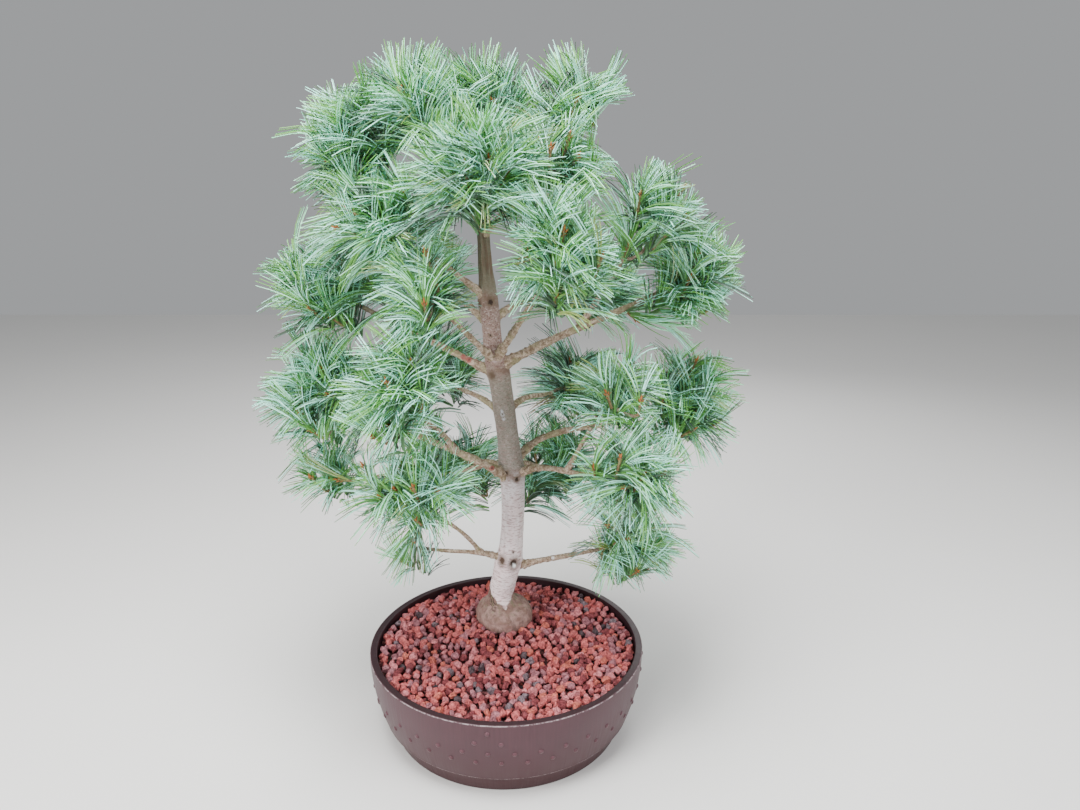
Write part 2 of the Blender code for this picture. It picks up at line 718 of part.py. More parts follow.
def make_spray(name, place, ahead, spaces, taken, rng, collection, material):
    """A slim core whose faces are drawn out into needles, apart from those that would leave the space."""
    shape = bmesh.new()
    bmesh.ops.create_uvsphere(shape, u_segments=SPINDLE_SIDES, v_segments=SPINDLE_RINGS, radius=1.0)
    turn = Vector((0, 0, 1)).rotation_difference(ahead)
    twist = rng.uniform(0, math.pi)
    outward = (place - Vector((*CROWN_AXIS, place.z))).normalized()
    plans = []
    for face in sorted(shape.faces, key=rounded_middle):
        local = face.calc_center_median()
        if local.z > -BARE_FOOT:
            aim = needle_aim(local, turn, twist, rng)
            limit = rng.uniform(*OUTER_LIMITS) if aim.dot(outward) > INWARD else INNER_LIMIT
            plans.append((face, aim, limit))
    size = Vector((SPINDLE_R, SPINDLE_R, SPINDLE_LENGTH / 2))
    spin = Matrix.Rotation(twist, 3, "Z")
    for vertex in shape.verts:
        vertex.co = place + turn @ (spin @ vertex.co * size)
    grown = [(place - ahead * SPINDLE_LENGTH / 2, place + ahead * SPINDLE_LENGTH / 2)]
    for face, aim, limit in plans:
        root = face.calc_center_median()
        tip = needle_tip(name, root, aim, limit, spaces, taken)
        if tip:
            bmesh.ops.poke(shape, faces=[face])["verts"][0].co = tip
            grown.append((root, tip))
    taken += grown
    bmesh.ops.triangulate(shape, faces=shape.faces)
    mesh = bpy.data.meshes.new("spray")
    shape.to_mesh(mesh)
    shape.free()
    new_object("spray", mesh, collection, material)


def make_mass(name, seed, stem, spaces, collection, helpers, material):
    """One mass: its stem, a twig from the stem to each spray, and the sprays, fused."""
    rng = random.Random(seed)
    node = "needles_" + name
    radii = [STEM_R * (1 - STEM_TAPER * i / (STEM_RINGS - 1)) for i in range(STEM_RINGS)]
    base = tube(node, stem, radii, STEM_SIDES, collection, helpers, material)
    growth = new_collection(node + "_growth", helper=True)
    taken = list(zip(stem, stem[1:]))
    sprays = spray_places(name, spaces, rng)
    for place, ahead in sprays:
        back = place - ahead * SPINDLE_LENGTH * TWIG_TO_CORE
        nearest = min(range(1, STEM_RINGS), key=lambda i: (stem[i] - back).length + TWIG_EARLY * i)
        root = stem[nearest]
        pull = (back - root).length * PULL
        run = (stem[nearest] - stem[nearest - 1]).normalized()
        middle = bezier(root, root + run * pull, back - ahead * pull, place, 3)[1]
        line = [root, middle, place]
        tube("twig", line, [TWIG_R, TWIG_R, TWIG_TIP_R], STEM_SIDES, growth, helpers, material)
        taken += [(root, middle), (middle, back)]
    for place, ahead in sprays:
        make_spray(name, place, ahead, spaces, taken, rng, growth, material)
    fuse(base, growth)
    return base


def main():
    clear_scene()
    parts = new_collection(PARTS)
    helpers = new_collection("guides", helper=True)
    clay = new_material("pot_dark_brown", (0.085, 0.062, 0.062), 0.42)
    grit = new_material("red_lava_soil", (0.36, 0.15, 0.12), 0.9)
    bark = new_material("grey_bark", (0.42, 0.37, 0.33), 0.85)
    green = new_material("blue_green_needles", (0.22, 0.36, 0.27), 0.6)
    make_pot(parts, clay)
    make_soil(parts, grit)
    limbs = {}
    for name, (growth, _) in BOUGHS.items():
        if growth:
            limbs[name] = plan_limb(name, limbs)
    make_trunk(limbs, parts, helpers, bark)
    for name, limb in limbs.items():
        tube("bough_" + name, limb["points"], limb["radii"], BOUGH_SIDES, parts, helpers, bark)
    stems = {name: plan_stem(name, limbs) for name in BOUGHS}
    spaces = Spaces(limbs, stems)
    for seed, name in enumerate(BOUGHS):
        make_mass(name, seed, stems[name], spaces, parts, helpers, green)
    for ring in list(helpers.objects):
        bpy.data.objects.remove(ring, do_unlink=True)


main()
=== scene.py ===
# Japanese white pine in a round studded pot: bark, needles, grit and pot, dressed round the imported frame
import json
import math
import random

import bmesh
import bpy
import numpy as np
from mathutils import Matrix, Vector, noise

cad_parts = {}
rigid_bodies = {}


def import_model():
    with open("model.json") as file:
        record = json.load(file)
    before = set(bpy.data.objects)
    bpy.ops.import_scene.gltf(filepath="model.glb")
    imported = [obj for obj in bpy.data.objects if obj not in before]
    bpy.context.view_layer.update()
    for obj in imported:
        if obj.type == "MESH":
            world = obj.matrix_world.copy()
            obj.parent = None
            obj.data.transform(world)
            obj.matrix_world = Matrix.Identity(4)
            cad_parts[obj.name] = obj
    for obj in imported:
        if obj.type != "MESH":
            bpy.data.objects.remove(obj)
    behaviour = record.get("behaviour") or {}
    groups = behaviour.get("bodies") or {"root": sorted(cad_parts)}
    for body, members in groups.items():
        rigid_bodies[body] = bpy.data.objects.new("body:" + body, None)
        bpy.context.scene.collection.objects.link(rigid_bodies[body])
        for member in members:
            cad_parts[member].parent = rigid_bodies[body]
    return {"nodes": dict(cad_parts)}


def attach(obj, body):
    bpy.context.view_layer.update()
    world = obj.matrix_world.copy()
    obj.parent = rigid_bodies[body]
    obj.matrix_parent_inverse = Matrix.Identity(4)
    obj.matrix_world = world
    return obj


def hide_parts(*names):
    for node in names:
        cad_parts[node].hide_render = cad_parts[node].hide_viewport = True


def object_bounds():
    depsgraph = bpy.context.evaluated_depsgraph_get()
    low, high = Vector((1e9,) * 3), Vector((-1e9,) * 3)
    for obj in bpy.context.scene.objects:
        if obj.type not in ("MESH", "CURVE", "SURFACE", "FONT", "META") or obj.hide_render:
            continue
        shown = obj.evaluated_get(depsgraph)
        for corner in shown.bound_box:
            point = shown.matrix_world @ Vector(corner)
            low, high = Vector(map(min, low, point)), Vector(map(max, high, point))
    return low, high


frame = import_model()
cadLow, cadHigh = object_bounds()
print("frame in,", len(frame["nodes"]), "nodes")


# Shader maths as plain expressions

class Wire:
    def __init__(self, paint, socket):
        self.paint = paint
        self.socket = socket

    def maths(self, operation, first, second=0.0):
        return self.paint.add("ShaderNodeMath", {"operation": operation}, {0: first, 1: second})

    def __add__(self, other):
        return self.maths("ADD", self, other)

    def __radd__(self, other):
        return self.maths("ADD", other, self)

    def __sub__(self, other):
        return self.maths("SUBTRACT", self, other)

    def __rsub__(self, other):
        return self.maths("SUBTRACT", other, self)

    def __mul__(self, other):
        return self.maths("MULTIPLY", self, other)

    def __abs__(self):
        return self.maths("ABSOLUTE", self)


class Paint:
    def __init__(self, name, **fixed):  # fixed: shader sockets that are the same all over
        self.material = bpy.data.materials.new(name)
        self.material.use_nodes = True
        self.nodes = self.material.node_tree.nodes
        self.links = self.material.node_tree.links
        self.shader = self.nodes["Principled BSDF"]
        for socket, value in fixed.items():
            self.shader.inputs[socket.replace("_", " ")].default_value = value

    def feed(self, socket, value):
        if isinstance(value, Wire):
            self.links.new(value.socket, socket)
        else:
            socket.default_value = value

    def add(self, kind, settings, sockets, out=0):
        node = self.nodes.new(kind)
        for key, value in settings.items():
            if key == "stops":
                ramp = node.color_ramp
                while len(ramp.elements) < len(value):
                    ramp.elements.new(0.5)
                for element, (place, colour) in zip(ramp.elements, value):
                    element.position = place
                    element.color = colour
            else:
                setattr(node, key, value)
        for key, value in sockets.items():
            if isinstance(key, int):
                self.feed(node.inputs[key], value)
            else:
                self.feed(next(s for s in node.inputs if key in (s.identifier, s.name)), value)
        return Wire(self, node.outputs[out])

    def place(self):
        return self.add("ShaderNodeTexCoord", {}, {}, out="Object")

    def axes(self):
        return [self.add("ShaderNodeSeparateXYZ", {}, {"Vector": self.place()}, out=axis) for axis in "XYZ"]

    def grain(self, scale, stretch=(1, 1, 1), detail=4.0, rough=0.55):
        spread = self.add("ShaderNodeMapping", {}, {"Vector": self.place(), "Scale": stretch})
        sockets = {"Vector": spread, "Scale": scale, "Detail": detail, "Roughness": rough}
        return self.add("ShaderNodeTexNoise", {}, sockets)

    def vector(self, operation, *values, out=0):
        return self.add("ShaderNodeVectorMath", {"operation": operation}, dict(enumerate(values)), out)

    def ramp(self, value, low, high):  # 0 below low, 1 above high
        sockets = {"Value": value, "From Min": low, "From Max": high}
        return self.add("ShaderNodeMapRange", {}, sockets)

    def fade(self, value, low, high):  # 1 below low, 0 above high
        return 1 - self.ramp(value, low, high)

    def mix(self, share, first, second):
        sockets = {"Factor_Float": share, "A_Color": solid(first), "B_Color": solid(second)}
        return self.add("ShaderNodeMix", {"data_type": "RGBA"}, sockets, out=2)

    def cover(self, base, *layers):  # each layer: how much of it shows, and its colour
        for share, colour in layers:
            base = self.mix(share, base, colour)
        return base

    def bump(self, height, strength, distance):
        sockets = {"Height": height, "Strength": strength, "Distance": distance}
        self.show("Normal", self.add("ShaderNodeBump", {}, sockets))

    def show(self, socket, value):
        self.feed(self.shader.inputs[socket], value)


def solid(colour):
    return colour if isinstance(colour, Wire) else (*colour, 1.0)


def shade(colour, factor):
    return tuple(min(1.0, channel * factor) for channel in colour)


# Meshes from arrays: a heap takes many small bodies and becomes one piece

class Heap:
    def __init__(self):
        self.points = []
        self.faces = []
        self.kinds = []
        self.count = 0

    def add(self, points, faces, kinds=0):
        self.points.append(np.asarray(points, float))
        self.faces.append(np.asarray(faces, int) + self.count)
        self.kinds.append(np.broadcast_to(kinds, len(faces)))
        self.count += len(points)

    def build(self, name, materials, smooth=True):
        points = np.concatenate(self.points)
        faces = np.concatenate(self.faces)
        mesh = bpy.data.meshes.new(name)
        mesh.vertices.add(len(points))
        mesh.vertices.foreach_set("co", points.astype(np.float32).ravel())
        mesh.loops.add(faces.size)
        mesh.loops.foreach_set("vertex_index", faces.astype(np.int32).ravel())
        mesh.polygons.add(len(faces))
        mesh.polygons.foreach_set("loop_start", np.arange(0, faces.size, 3, dtype=np.int32))
        mesh.polygons.foreach_set("material_index", np.concatenate(self.kinds).astype(np.int32))
        mesh.polygons.foreach_set("use_smooth", np.full(len(faces), smooth))
        mesh.update(calc_edges=True)
        for paint in materials:
            mesh.materials.append(paint.material)
        print(name, len(faces), "triangles")
        return placed(name, mesh)


def placed(name, data, place=(0, 0, 0)):
    thing = bpy.data.objects.new(name, data)
    thing.location = place
    bpy.context.scene.collection.objects.link(thing)
    return thing


def fit(piece, slot, *nodes):
    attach(piece, "root")
    if nodes:
        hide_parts(*nodes)


def gridFaces(rings, sides, closed=True):
    # two triangles for each cell of a tube or sheet whose rings follow one another
    ring, side = np.meshgrid(np.arange(rings - 1), np.arange(sides if closed else sides - 1), indexing="ij")
    here = ring * sides + side
    beside = ring * sides + (side + 1) % sides
    cells = np.stack([here, beside, beside + sides, here + sides], axis=-1).reshape(-1, 4)
    return np.concatenate([cells[:, [0, 1, 2]], cells[:, [0, 2, 3]]])


def tubeFaces(rings, sides):
    # a tube's wall, and a fan at each end round one of the two points that follow its rings
    turn = np.arange(sides)
    ahead = (turn + 1) % sides
    hub = np.full(sides, rings * sides)
    last = (rings - 1) * sides
    fans = [np.stack([hub, ahead, turn], axis=1), np.stack([hub + 1, last + turn, last + ahead], axis=1)]
    return np.concatenate([gridFaces(rings, sides), *fans])


def tubeArrays(line, radii, sides, rough=0.0, grain=300.0, seed=0.0):
    line = np.array(line, float)
    runs = np.gradient(line, axis=0)
    runs /= np.linalg.norm(runs, axis=1, keepdims=True)
    side = np.cross(runs[0], (0.0, 0.0, 1.0) if abs(runs[0][2]) < 0.9 else (1.0, 0.0, 0.0))
    points = []
    for place, run, radius in zip(line, runs, radii):
        side = side - run * side.dot(run)
        side /= np.linalg.norm(side)
        over = np.cross(run, side)
        for angle in np.arange(sides) * 2 * math.pi / sides:
            out = side * math.cos(angle) + over * math.sin(angle)
            reach = radius
            if rough:
                spot = Vector(place + out * radius) * grain + Vector((seed, seed, 0.0))
                reach *= 1 + rough * noise.noise(spot)
            points.append(place + out * reach)
    return np.array([*points, line[0], line[-1]]), tubeFaces(len(line), sides)


# View and light: the camera that the photo was taken with, in metres from the middle of the pot's underside

view = {"place": (0.043, -0.935, 0.689), "lens": 27.08, "sensor": 36, "down": 15.81}
lights = {  # place, aims at, size, watts, colour
    "top": ((-0.1, -0.35, 1.80), (0.0, 0.0, 0.45), 0.9, 50.0, (1.0, 1.0, 1.0)),
    "left": ((-1.25, -1.15, 1.15), (0.0, 0.0, 0.42), 1.0, 42.0, (1.0, 0.99, 0.98)),
    "right": ((1.35, -0.95, 0.95), (0.0, 0.0, 0.42), 1.1, 21.0, (0.97, 0.98, 1.0)),
    "back": ((0.5, 1.5, 1.3), (0.0, 0.0, 0.5), 1.0, 12.0, (1.0, 1.0, 1.0)),
}
room = {
    "size": 3.2, "floor": (0.80, 0.79, 0.77), "floorDrop": 0.0005, "floorShade": 0.97,
    "air": (0.86, 0.88, 0.90), "airStrength": 0.44,
}


def makeView():
    camera = placed("view", bpy.data.cameras.new("view"), view["place"])
    camera.data.lens = view["lens"]
    camera.rotation_euler = (math.radians(90 - view["down"]), 0.0, 0.0)
    bpy.context.scene.camera = camera
    for name, (place, aim, size, watts, colour) in lights.items():
        lamp = bpy.data.lights.new(name, "AREA")
        lamp.shape = "DISK"
        lamp.size = size
        lamp.energy = watts
        lamp.color = colour
        turn = (Vector(aim) - Vector(place)).to_track_quat("-Z", "Y").to_euler()
        placed(name, lamp, place).rotation_euler = turn
    world = bpy.data.worlds.new("air")
    world.use_nodes = True
    air = world.node_tree.nodes["Background"].inputs
    air["Color"].default_value = (*room["air"], 1.0)
    air["Strength"].default_value = room["airStrength"]
    bpy.context.scene.world = world
    corners = [(x * room["size"], y * room["size"], 0) for x, y in ((-1, -1), (1, -1), (1, 1), (-1, 1))]
    sheet = Heap()
    sheet.add(corners, [(0, 1, 2), (0, 2, 3)])
    paint = Paint("pale_floor", Roughness=0.9)
    cloud = paint.grain(3.0)
    paint.show("Base Color", paint.mix(cloud, shade(room["floor"], room["floorShade"]), room["floor"]))
    floor = sheet.build("floor", [paint])
    floor.location.z = -room["floorDrop"]


makeView()
print("camera, lights and floor placed")


# The limbs, by the same rule and sizes as the frame's own: metres, bearing 0 is +X and 90 the back

trunk = {
    "stations": (  # height, sideways place, thickness
        (0.104, -0.0040, 0.0660), (0.118, -0.0048, 0.0640), (0.134, -0.0082, 0.0470),
        (0.149, -0.0096, 0.0350), (0.166, -0.0064, 0.0342), (0.183, -0.0020, 0.0335),
        (0.227, 0.0054, 0.0300), (0.263, 0.0077, 0.0292), (0.314, 0.0078, 0.0303),
        (0.381, 0.0018, 0.0272), (0.438, -0.0048, 0.0270), (0.493, -0.0137, 0.0235),
        (0.545, -0.0180, 0.0210), (0.598, -0.0219, 0.0156), (0.645, -0.0222, 0.0128),
        (0.708, -0.0130, 0.0080),
    ),
    "seat": 0.112, "footY": 0.044, "lean": -0.036,
    "whorls": (0.200, 0.326, 0.462, 0.546, 0.632), "swell": 0.10, "swellLength": 0.014, "knotShare": 0.2,
    "bulges": ((150, 0.012, 0.027), (265, 0.013, 0.026), (335, 0.016, 0.022), (40, 0.012, 0.026)),
    "bulgeZ": 0.121, "bulgeSquash": 0.8,
    "rings": 400, "sides": 72,
}

limb = {
    "straight": 0.003, "straightShare": 0.2, "pull": 0.3, "tipShare": 0.55, "rings": 6, "fineRings": 60,
    "fineSides": 12, "faceted": 0.94, "gap": 0.0003, "collarReach": 0.004, "entry": 0.72, "longestStem": 0.8,
    "arrivalTurn": 0.25,
}

crown = {
    "axis": (0.0, 0.035), "heart": 0.22, "stemRings": 5, "stemRadius": 0.0024,
    "tries": 40, "depth": (0.36, 0.50), "margin": 0.12, "far": 0.05, "outwardWorth": 0.010,
    "upwardWorth": 0.008, "coreRadius": 0.008, "limbMargin": 0.0016, "trunkSteps": 42,
}

# name: (parent, place on it, bearing, rise, thickness), then its mass:
# bearing, reach, height, half width, half depth, half height, sprays in the frame's mass
boughs = {
    "low_left": (("trunk", 0.202, 205, 24, 0.0075), (196, 0.126, 0.238, 0.040, 0.042, 0.048, 2)),
    "low_right": (("trunk", 0.189, 350, 18, 0.0094), (351, 0.158, 0.238, 0.068, 0.062, 0.062, 3)),
    "left_tip_mid": (("trunk", 0.315, 222, 36, 0.0112), (188, 0.215, 0.434, 0.078, 0.074, 0.072, 4)),
    "left_front_mid": (("left_tip_mid", 0.42, 232, 55, 0.0076), (236, 0.187, 0.468, 0.064, 0.068, 0.070, 4)),
    "left_front_low": (("low_left", 0.30, 212, 56, 0.0060), (234, 0.167, 0.352, 0.072, 0.064, 0.052, 3)),
    "left_tip_low": (("left_tip_mid", 0.28, 204, -18, 0.0066), (190, 0.212, 0.328, 0.063, 0.058, 0.044, 3)),
    "right_front_low": (("trunk", 0.321, 325, 27, 0.0092), (322, 0.188, 0.362, 0.073, 0.064, 0.056, 3)),
    "right_front_mid": (("right_front_low", 0.55, 318, 62, 0.0064), (319, 0.161, 0.46, 0.058, 0.062, 0.057, 3)),
    "right_tip_mid": (("trunk", 0.337, 32, 34, 0.0096), (359, 0.220, 0.420, 0.074, 0.074, 0.078, 4)),
    "back_low_left": (("trunk", 0.322, 128, 10, 0.0080), (125, 0.154, 0.300, 0.070, 0.062, 0.060, 3)),
    "back_low_right": (("trunk", 0.326, 70, 2, 0.0080), (62, 0.138, 0.290, 0.068, 0.062, 0.060, 3)),
    "back_mid_left": (("trunk", 0.398, 132, 22, 0.0085), (129, 0.176, 0.424, 0.076, 0.068, 0.068, 3)),
    "back_mid_right": (("trunk", 0.404, 55, 18, 0.0085), (57, 0.165, 0.405, 0.076, 0.068, 0.070, 3)),
    "left_tip_high": (("trunk", 0.452, 186, 30, 0.0098), (184, 0.212, 0.562, 0.070, 0.072, 0.068, 3)),
    "left_front_high": (("trunk", 0.471, 238, 36, 0.0084), (241, 0.155, 0.572, 0.054, 0.060, 0.052, 3)),
    "right_front_high": (("trunk", 0.474, 296, 38, 0.0100), (291, 0.177, 0.610, 0.064, 0.068, 0.070, 4)),
    "right_tip_high": (("trunk", 0.463, 350, 30, 0.0118), (357, 0.224, 0.574, 0.066, 0.074, 0.062, 3)),
    "right_mid_high": (("right_tip_high", 0.48, 350, 58, 0.0080), (344, 0.176, 0.652, 0.07, 0.068, 0.064, 3)),
    "back_high_left": (("trunk", 0.515, 140, 30, 0.0090), (134, 0.172, 0.567, 0.078, 0.070, 0.074, 3)),
    "back_high_right": (("trunk", 0.520, 40, 26, 0.0090), (48, 0.168, 0.550, 0.078, 0.070, 0.074, 3)),
    "left_mid_high": (("trunk", 0.546, 210, 40, 0.0080), (211, 0.146, 0.642, 0.064, 0.068, 0.056, 3)),
    "left_shoulder": (("trunk", 0.628, 196, 40, 0.0095), (189, 0.170, 0.712, 0.066, 0.076, 0.074, 3)),
    "top_left": (("left_shoulder", 0.40, 196, 72, 0.0070), (205, 0.096, 0.766, 0.070, 0.068, 0.056, 3)),
    "top_front": (("trunk", 0.634, 262, 34, 0.0080), (261, 0.136, 0.700, 0.072, 0.068, 0.064, 3)),
    "top_right": (("trunk", 0.648, 345, 46, 0.0080), (340, 0.090, 0.764, 0.064, 0.066, 0.060, 3)),
    "right_neck": (("trunk", 0.622, 310, 36, 0.0072), (304, 0.115, 0.699, 0.056, 0.060, 0.050, 3)),
    "back_top": (("trunk", 0.630, 92, 38, 0.0085), (94, 0.118, 0.705, 0.080, 0.070, 0.070, 4)),
    "top_middle": (None, (180, 0.005, 0.766, 0.062, 0.070, 0.057, 3)),
}


def bearingVector(bearing, rise=0.0):
    turn = math.radians(bearing)
    lift = math.radians(rise)
    return Vector((math.cos(turn) * math.cos(lift), math.sin(turn) * math.cos(lift), math.sin(lift)))


def bezier(start, first, second, end, count):
    points = []
    for i in range(count):
        t = i / (count - 1)
        s = 1 - t
        points.append(s**3 * start + 3 * s * s * t * first + 3 * s * t * t * second + t**3 * end)
    return points


def limbLine(start, ahead, end, arriving, count):
    reach = (end - start).length
    lead = min(limb["straight"], reach * limb["straightShare"])
    first = start + ahead * lead
    last = end - arriving * lead
    pull = reach * limb["pull"]
    return [start, *bezier(first, first + ahead * pull, last - arriving * pull, last, count - 2), end]


def catmull(values, knots, share):
    span = knots[2] - knots[1]
    before = max(knots[1] - knots[0], span * trunk["knotShare"])
    after = max(knots[3] - knots[2], span * trunk["knotShare"])
    first = ((values[1] - values[0]) / before + (values[2] - values[1]) / span) / 2 * span
    last = ((values[2] - values[1]) / span + (values[3] - values[2]) / after) / 2 * span
    s2 = share * share
    s3 = s2 * share
    ends = (2 * s3 - 3 * s2 + 1) * values[1] + (3 * s2 - 2 * s3) * values[2]
    return ends + (s3 - 2 * s2 + share) * first + (s3 - s2) * last


def trunkPlace(height):
    stations = trunk["stations"]
    heights = [station[0] for station in stations]
    i = int(np.clip(np.searchsorted(heights, height) - 1, 0, len(heights) - 2))
    share = (height - heights[i]) / (heights[i + 1] - heights[i])
    knots = [stations[min(max(j, 0), len(heights) - 1)] for j in range(i - 1, i + 3)]
    x, wide = [catmull([k[column] for k in knots], [k[0] for k in knots], share) for column in (1, 2)]
    swell = sum(math.exp(-(((height - whorl) / trunk["swellLength"]) ** 2)) for whorl in trunk["whorls"])
    y = trunk["footY"] + trunk["lean"] * (height - trunk["seat"])
    return x, y, wide / 2 * (1 + trunk["swell"] * swell)


def trunkPoint(height):
    x, y, _ = trunkPlace(height)
    return Vector((x, y, height))


def massMiddle(mass):
    bearing, reach, height = mass[:3]
    return Vector((*crown["axis"], height)) + bearingVector(bearing) * reach


def planLimb(name, limbs):
    (parent, place, bearing, rise, thickness), mass = boughs[name]
    first = bearingVector(bearing, rise)
    radius = thickness / 2
    if parent == "trunk":
        x, y, stemRadius = trunkPlace(place)
        lift = math.radians(rise)
        out = (stemRadius + limb["collarReach"] + radius * math.sin(abs(lift))) / math.cos(lift)
        foot = Vector((x, y, place)) + first * out
    else:
        carrier = limbs[parent]
        along = place * (limb["rings"] - 1)
        i = int(along)
        share = along - i
        base = carrier["points"][i].lerp(carrier["points"][i + 1], share)
        wide = carrier["radii"][i] * (1 - share) + carrier["radii"][i + 1] * share
        run = (carrier["points"][i + 1] - carrier["points"][i]).normalized()
        lean = abs(first.dot(run))
        out = (limb["faceted"] * (wide + radius * lean) + limb["gap"]) / math.sqrt(1 - lean * lean)
        foot = base + first * out
    middle = massMiddle(mass)
    inward = foot - middle
    share = limb["entry"] / math.sqrt(sum((a / b) ** 2 for a, b in zip(inward, mass[3:6])))
    end = middle + inward * min(share, limb["longestStem"])
    last = (middle - end).normalized().lerp(first, limb["arrivalTurn"]).normalized()
    taper = [1 - (1 - limb["tipShare"]) * i / (limb["rings"] - 1) for i in range(limb["rings"])]
    return {
        "parent": parent, "out": out, "first": first, "last": last, "foot": foot, "end": end,
        "points": limbLine(foot, first, end, last, limb["rings"]), "radii": [radius * t for t in taper],
    }


def boughLine(planned):
    return limbLine(planned["foot"], planned["first"], planned["end"], planned["last"], limb["fineRings"])


def planStem(name, limbs):
    middle = massMiddle(boughs[name][1])
    if name in limbs:
        tip = limbs[name]["points"][-1]
        ahead = (tip - limbs[name]["points"][-2]).normalized()
    else:
        top = trunk["stations"][-1][0]
        tip = trunkPoint(top)
        ahead = (tip - trunkPoint(top - limb["straight"])).normalized()
    start = tip + ahead * limb["gap"]
    heart = start.lerp(middle, 1 - crown["heart"])
    return limbLine(start, ahead, heart, (middle - start).normalized(), crown["stemRings"])


limbs = {}
for name, (growth, _) in boughs.items():
    if growth:
        limbs[name] = planLimb(name, limbs)
stems = {name: planStem(name, limbs) for name in boughs}
print("limbs planned,", len(limbs), "boughs")


# Bark

bark = {
    # the lowest zones are pale bark made paler still: partly painted light on the lower trunk
    "zones": (  # height, colour
        (0.150, (0.88, 0.73, 0.74)), (0.190, (0.92, 0.83, 0.85)), (0.305, (0.86, 0.79, 0.83)),
        (0.340, (0.34, 0.30, 0.27)), (0.450, (0.30, 0.26, 0.22)), (0.475, (0.38, 0.26, 0.23)),
        (0.535, (0.33, 0.23, 0.20)), (0.560, (0.20, 0.18, 0.13)), (0.700, (0.11, 0.10, 0.065)),
    ),
    "dash": (0.40, 0.20, 0.20), "fleck": (0.20, 0.085, 0.075), "palest": (0.95, 0.91, 0.93),
    "pith": (0.055, 0.035, 0.028), "foot": (0.23, 0.135, 0.112), "footPale": (0.38, 0.245, 0.215),
    "moss": (0.22, 0.21, 0.12), "knot": (0.15, 0.098, 0.068), "collar": (0.20, 0.115, 0.085),
    "blush": (0.90, 0.68, 0.69), "mottle": (0.58, 0.46, 0.44), "resin": (0.88, 0.87, 0.88),
    "lilac": (0.60, 0.59, 0.64), "hollow": (0.105, 0.068, 0.050), "wound": (0.34, 0.115, 0.095),
}
# heights over which the bark turns from pale to grey, the flecks crowd and thin out, and the top darkens
levels = {"grey": (0.300, 0.335), "crowded": (0.440, 0.475), "sparse": (0.535, 0.560), "dark": (0.535, 0.565)}
# the pale bark ends in a point at the front of the swollen foot, and rises from there to the sides
graft = {
    "low": 0.139, "bearing": -74, "rise": 0.024, "turn": 86, "rough": 0.009, "edge": 0.0008,
    "moss": (0.126, 0.142), "folds": (0.0025, 0.0065, 0.0110), "foldBearing": -138, "foldTurn": (0.40, 0.75),
    "foldWander": 0.016, "foldWidth": (0.0004, 0.0014),
}
# what shows on the trunk: height, bearing, radius of the ring, height of the ring, what lies in it
scars = (
    (0.2035, 292, 0.0076, 0.0022, "pith"), (0.2000, 296, 0.0024, 0.0006, "resin"),
    (0.2065, 240, 0.0066, 0.0020, "hollow"), (0.2190, 286, 0.0020, 0.0004, "pith"),
    (0.3215, 292, 0.0040, 0.0008, "pith"), (0.3300, 250, 0.0040, 0.0008, "pith"),
    (0.4010, 264, 0.0020, 0.0004, "lilac"), (0.4060, 262, 0.0022, 0.0004, "lilac"),
    (0.4105, 260, 0.0018, 0.0004, "lilac"), (0.4035, 264, 0.0012, 0.0002, "pith"),
    (0.4070, 262, 0.0013, 0.0002, "pith"), (0.4560, 240, 0.0050, 0.0012, "knot"),
    (0.5050, 262, 0.0024, 0.0004, "pith"), (0.5420, 205, 0.0050, 0.0016, "knot"),
    (0.5450, 285, 0.0050, 0.0014, "pith"), (0.6300, 240, 0.0045, 0.0014, "knot"),
)
# a scar's parts as shares of its radius, and how far its outline wanders
scarForm = {
    "core": (0.42, 0.6), "halo": (0.6, 1.5), "ring": 0.45, "pit": 0.55, "sunk": 0.5, "wander": 0.004,
    "flat": 0.8,
}
# what shows on the boughs: how far along, how big
boughMarks = (
    ("left_tip_high", 0.13, 0.0044, "wound"), ("left_tip_high", 0.17, 0.0044, "wound"),
    ("low_right", 0.44, 0.0030, "resin"), ("right_tip_high", 0.52, 0.0020, "resin"),
    ("left_tip_mid", 0.07, 0.0040, "wound"),
)
# furrows up the upper trunk: from, to, bearing, half width in degrees, depth
furrows = ((0.552, 0.632, 271, 15, 0.0017), (0.560, 0.620, 228, 12, 0.0010), (0.558, 0.620, 318, 12, 0.0010))
# relief of the bark: each noise has its grains to a metre and its strength
relief = {
    "height": 0.00045, "ridges": ((60, 1.5), (150, 0.8)), "ridgeStretch": 0.55, "swollen": 0.006,
    "lumps": ((45, 2.0), (110, 1.1)), "cracks": ((190, 0.8),), "crackStretch": 0.4,
    "ringSpread": 1.08, "blend": 9, "collarSunk": 1.2, "collarSwell": 0.42, "collarReach": 1.7,
    "collarEnd": 4, "furrowStart": 0.008, "furrowEnd": 0.012, "furrowLip": 0.4, "lipAway": 1.9,
}
# how a bough flares into what carries it, in shares of its thickness, and swells a little at its old whorls
flare = {
    "sunk": 0.75, "rings": 5, "widest": 1.70, "narrowing": 0.66, "base": 0.94, "swell": 0.34, "reach": 1.3,
}
whorlWaves = {"height": 0.07, "turn": 130}


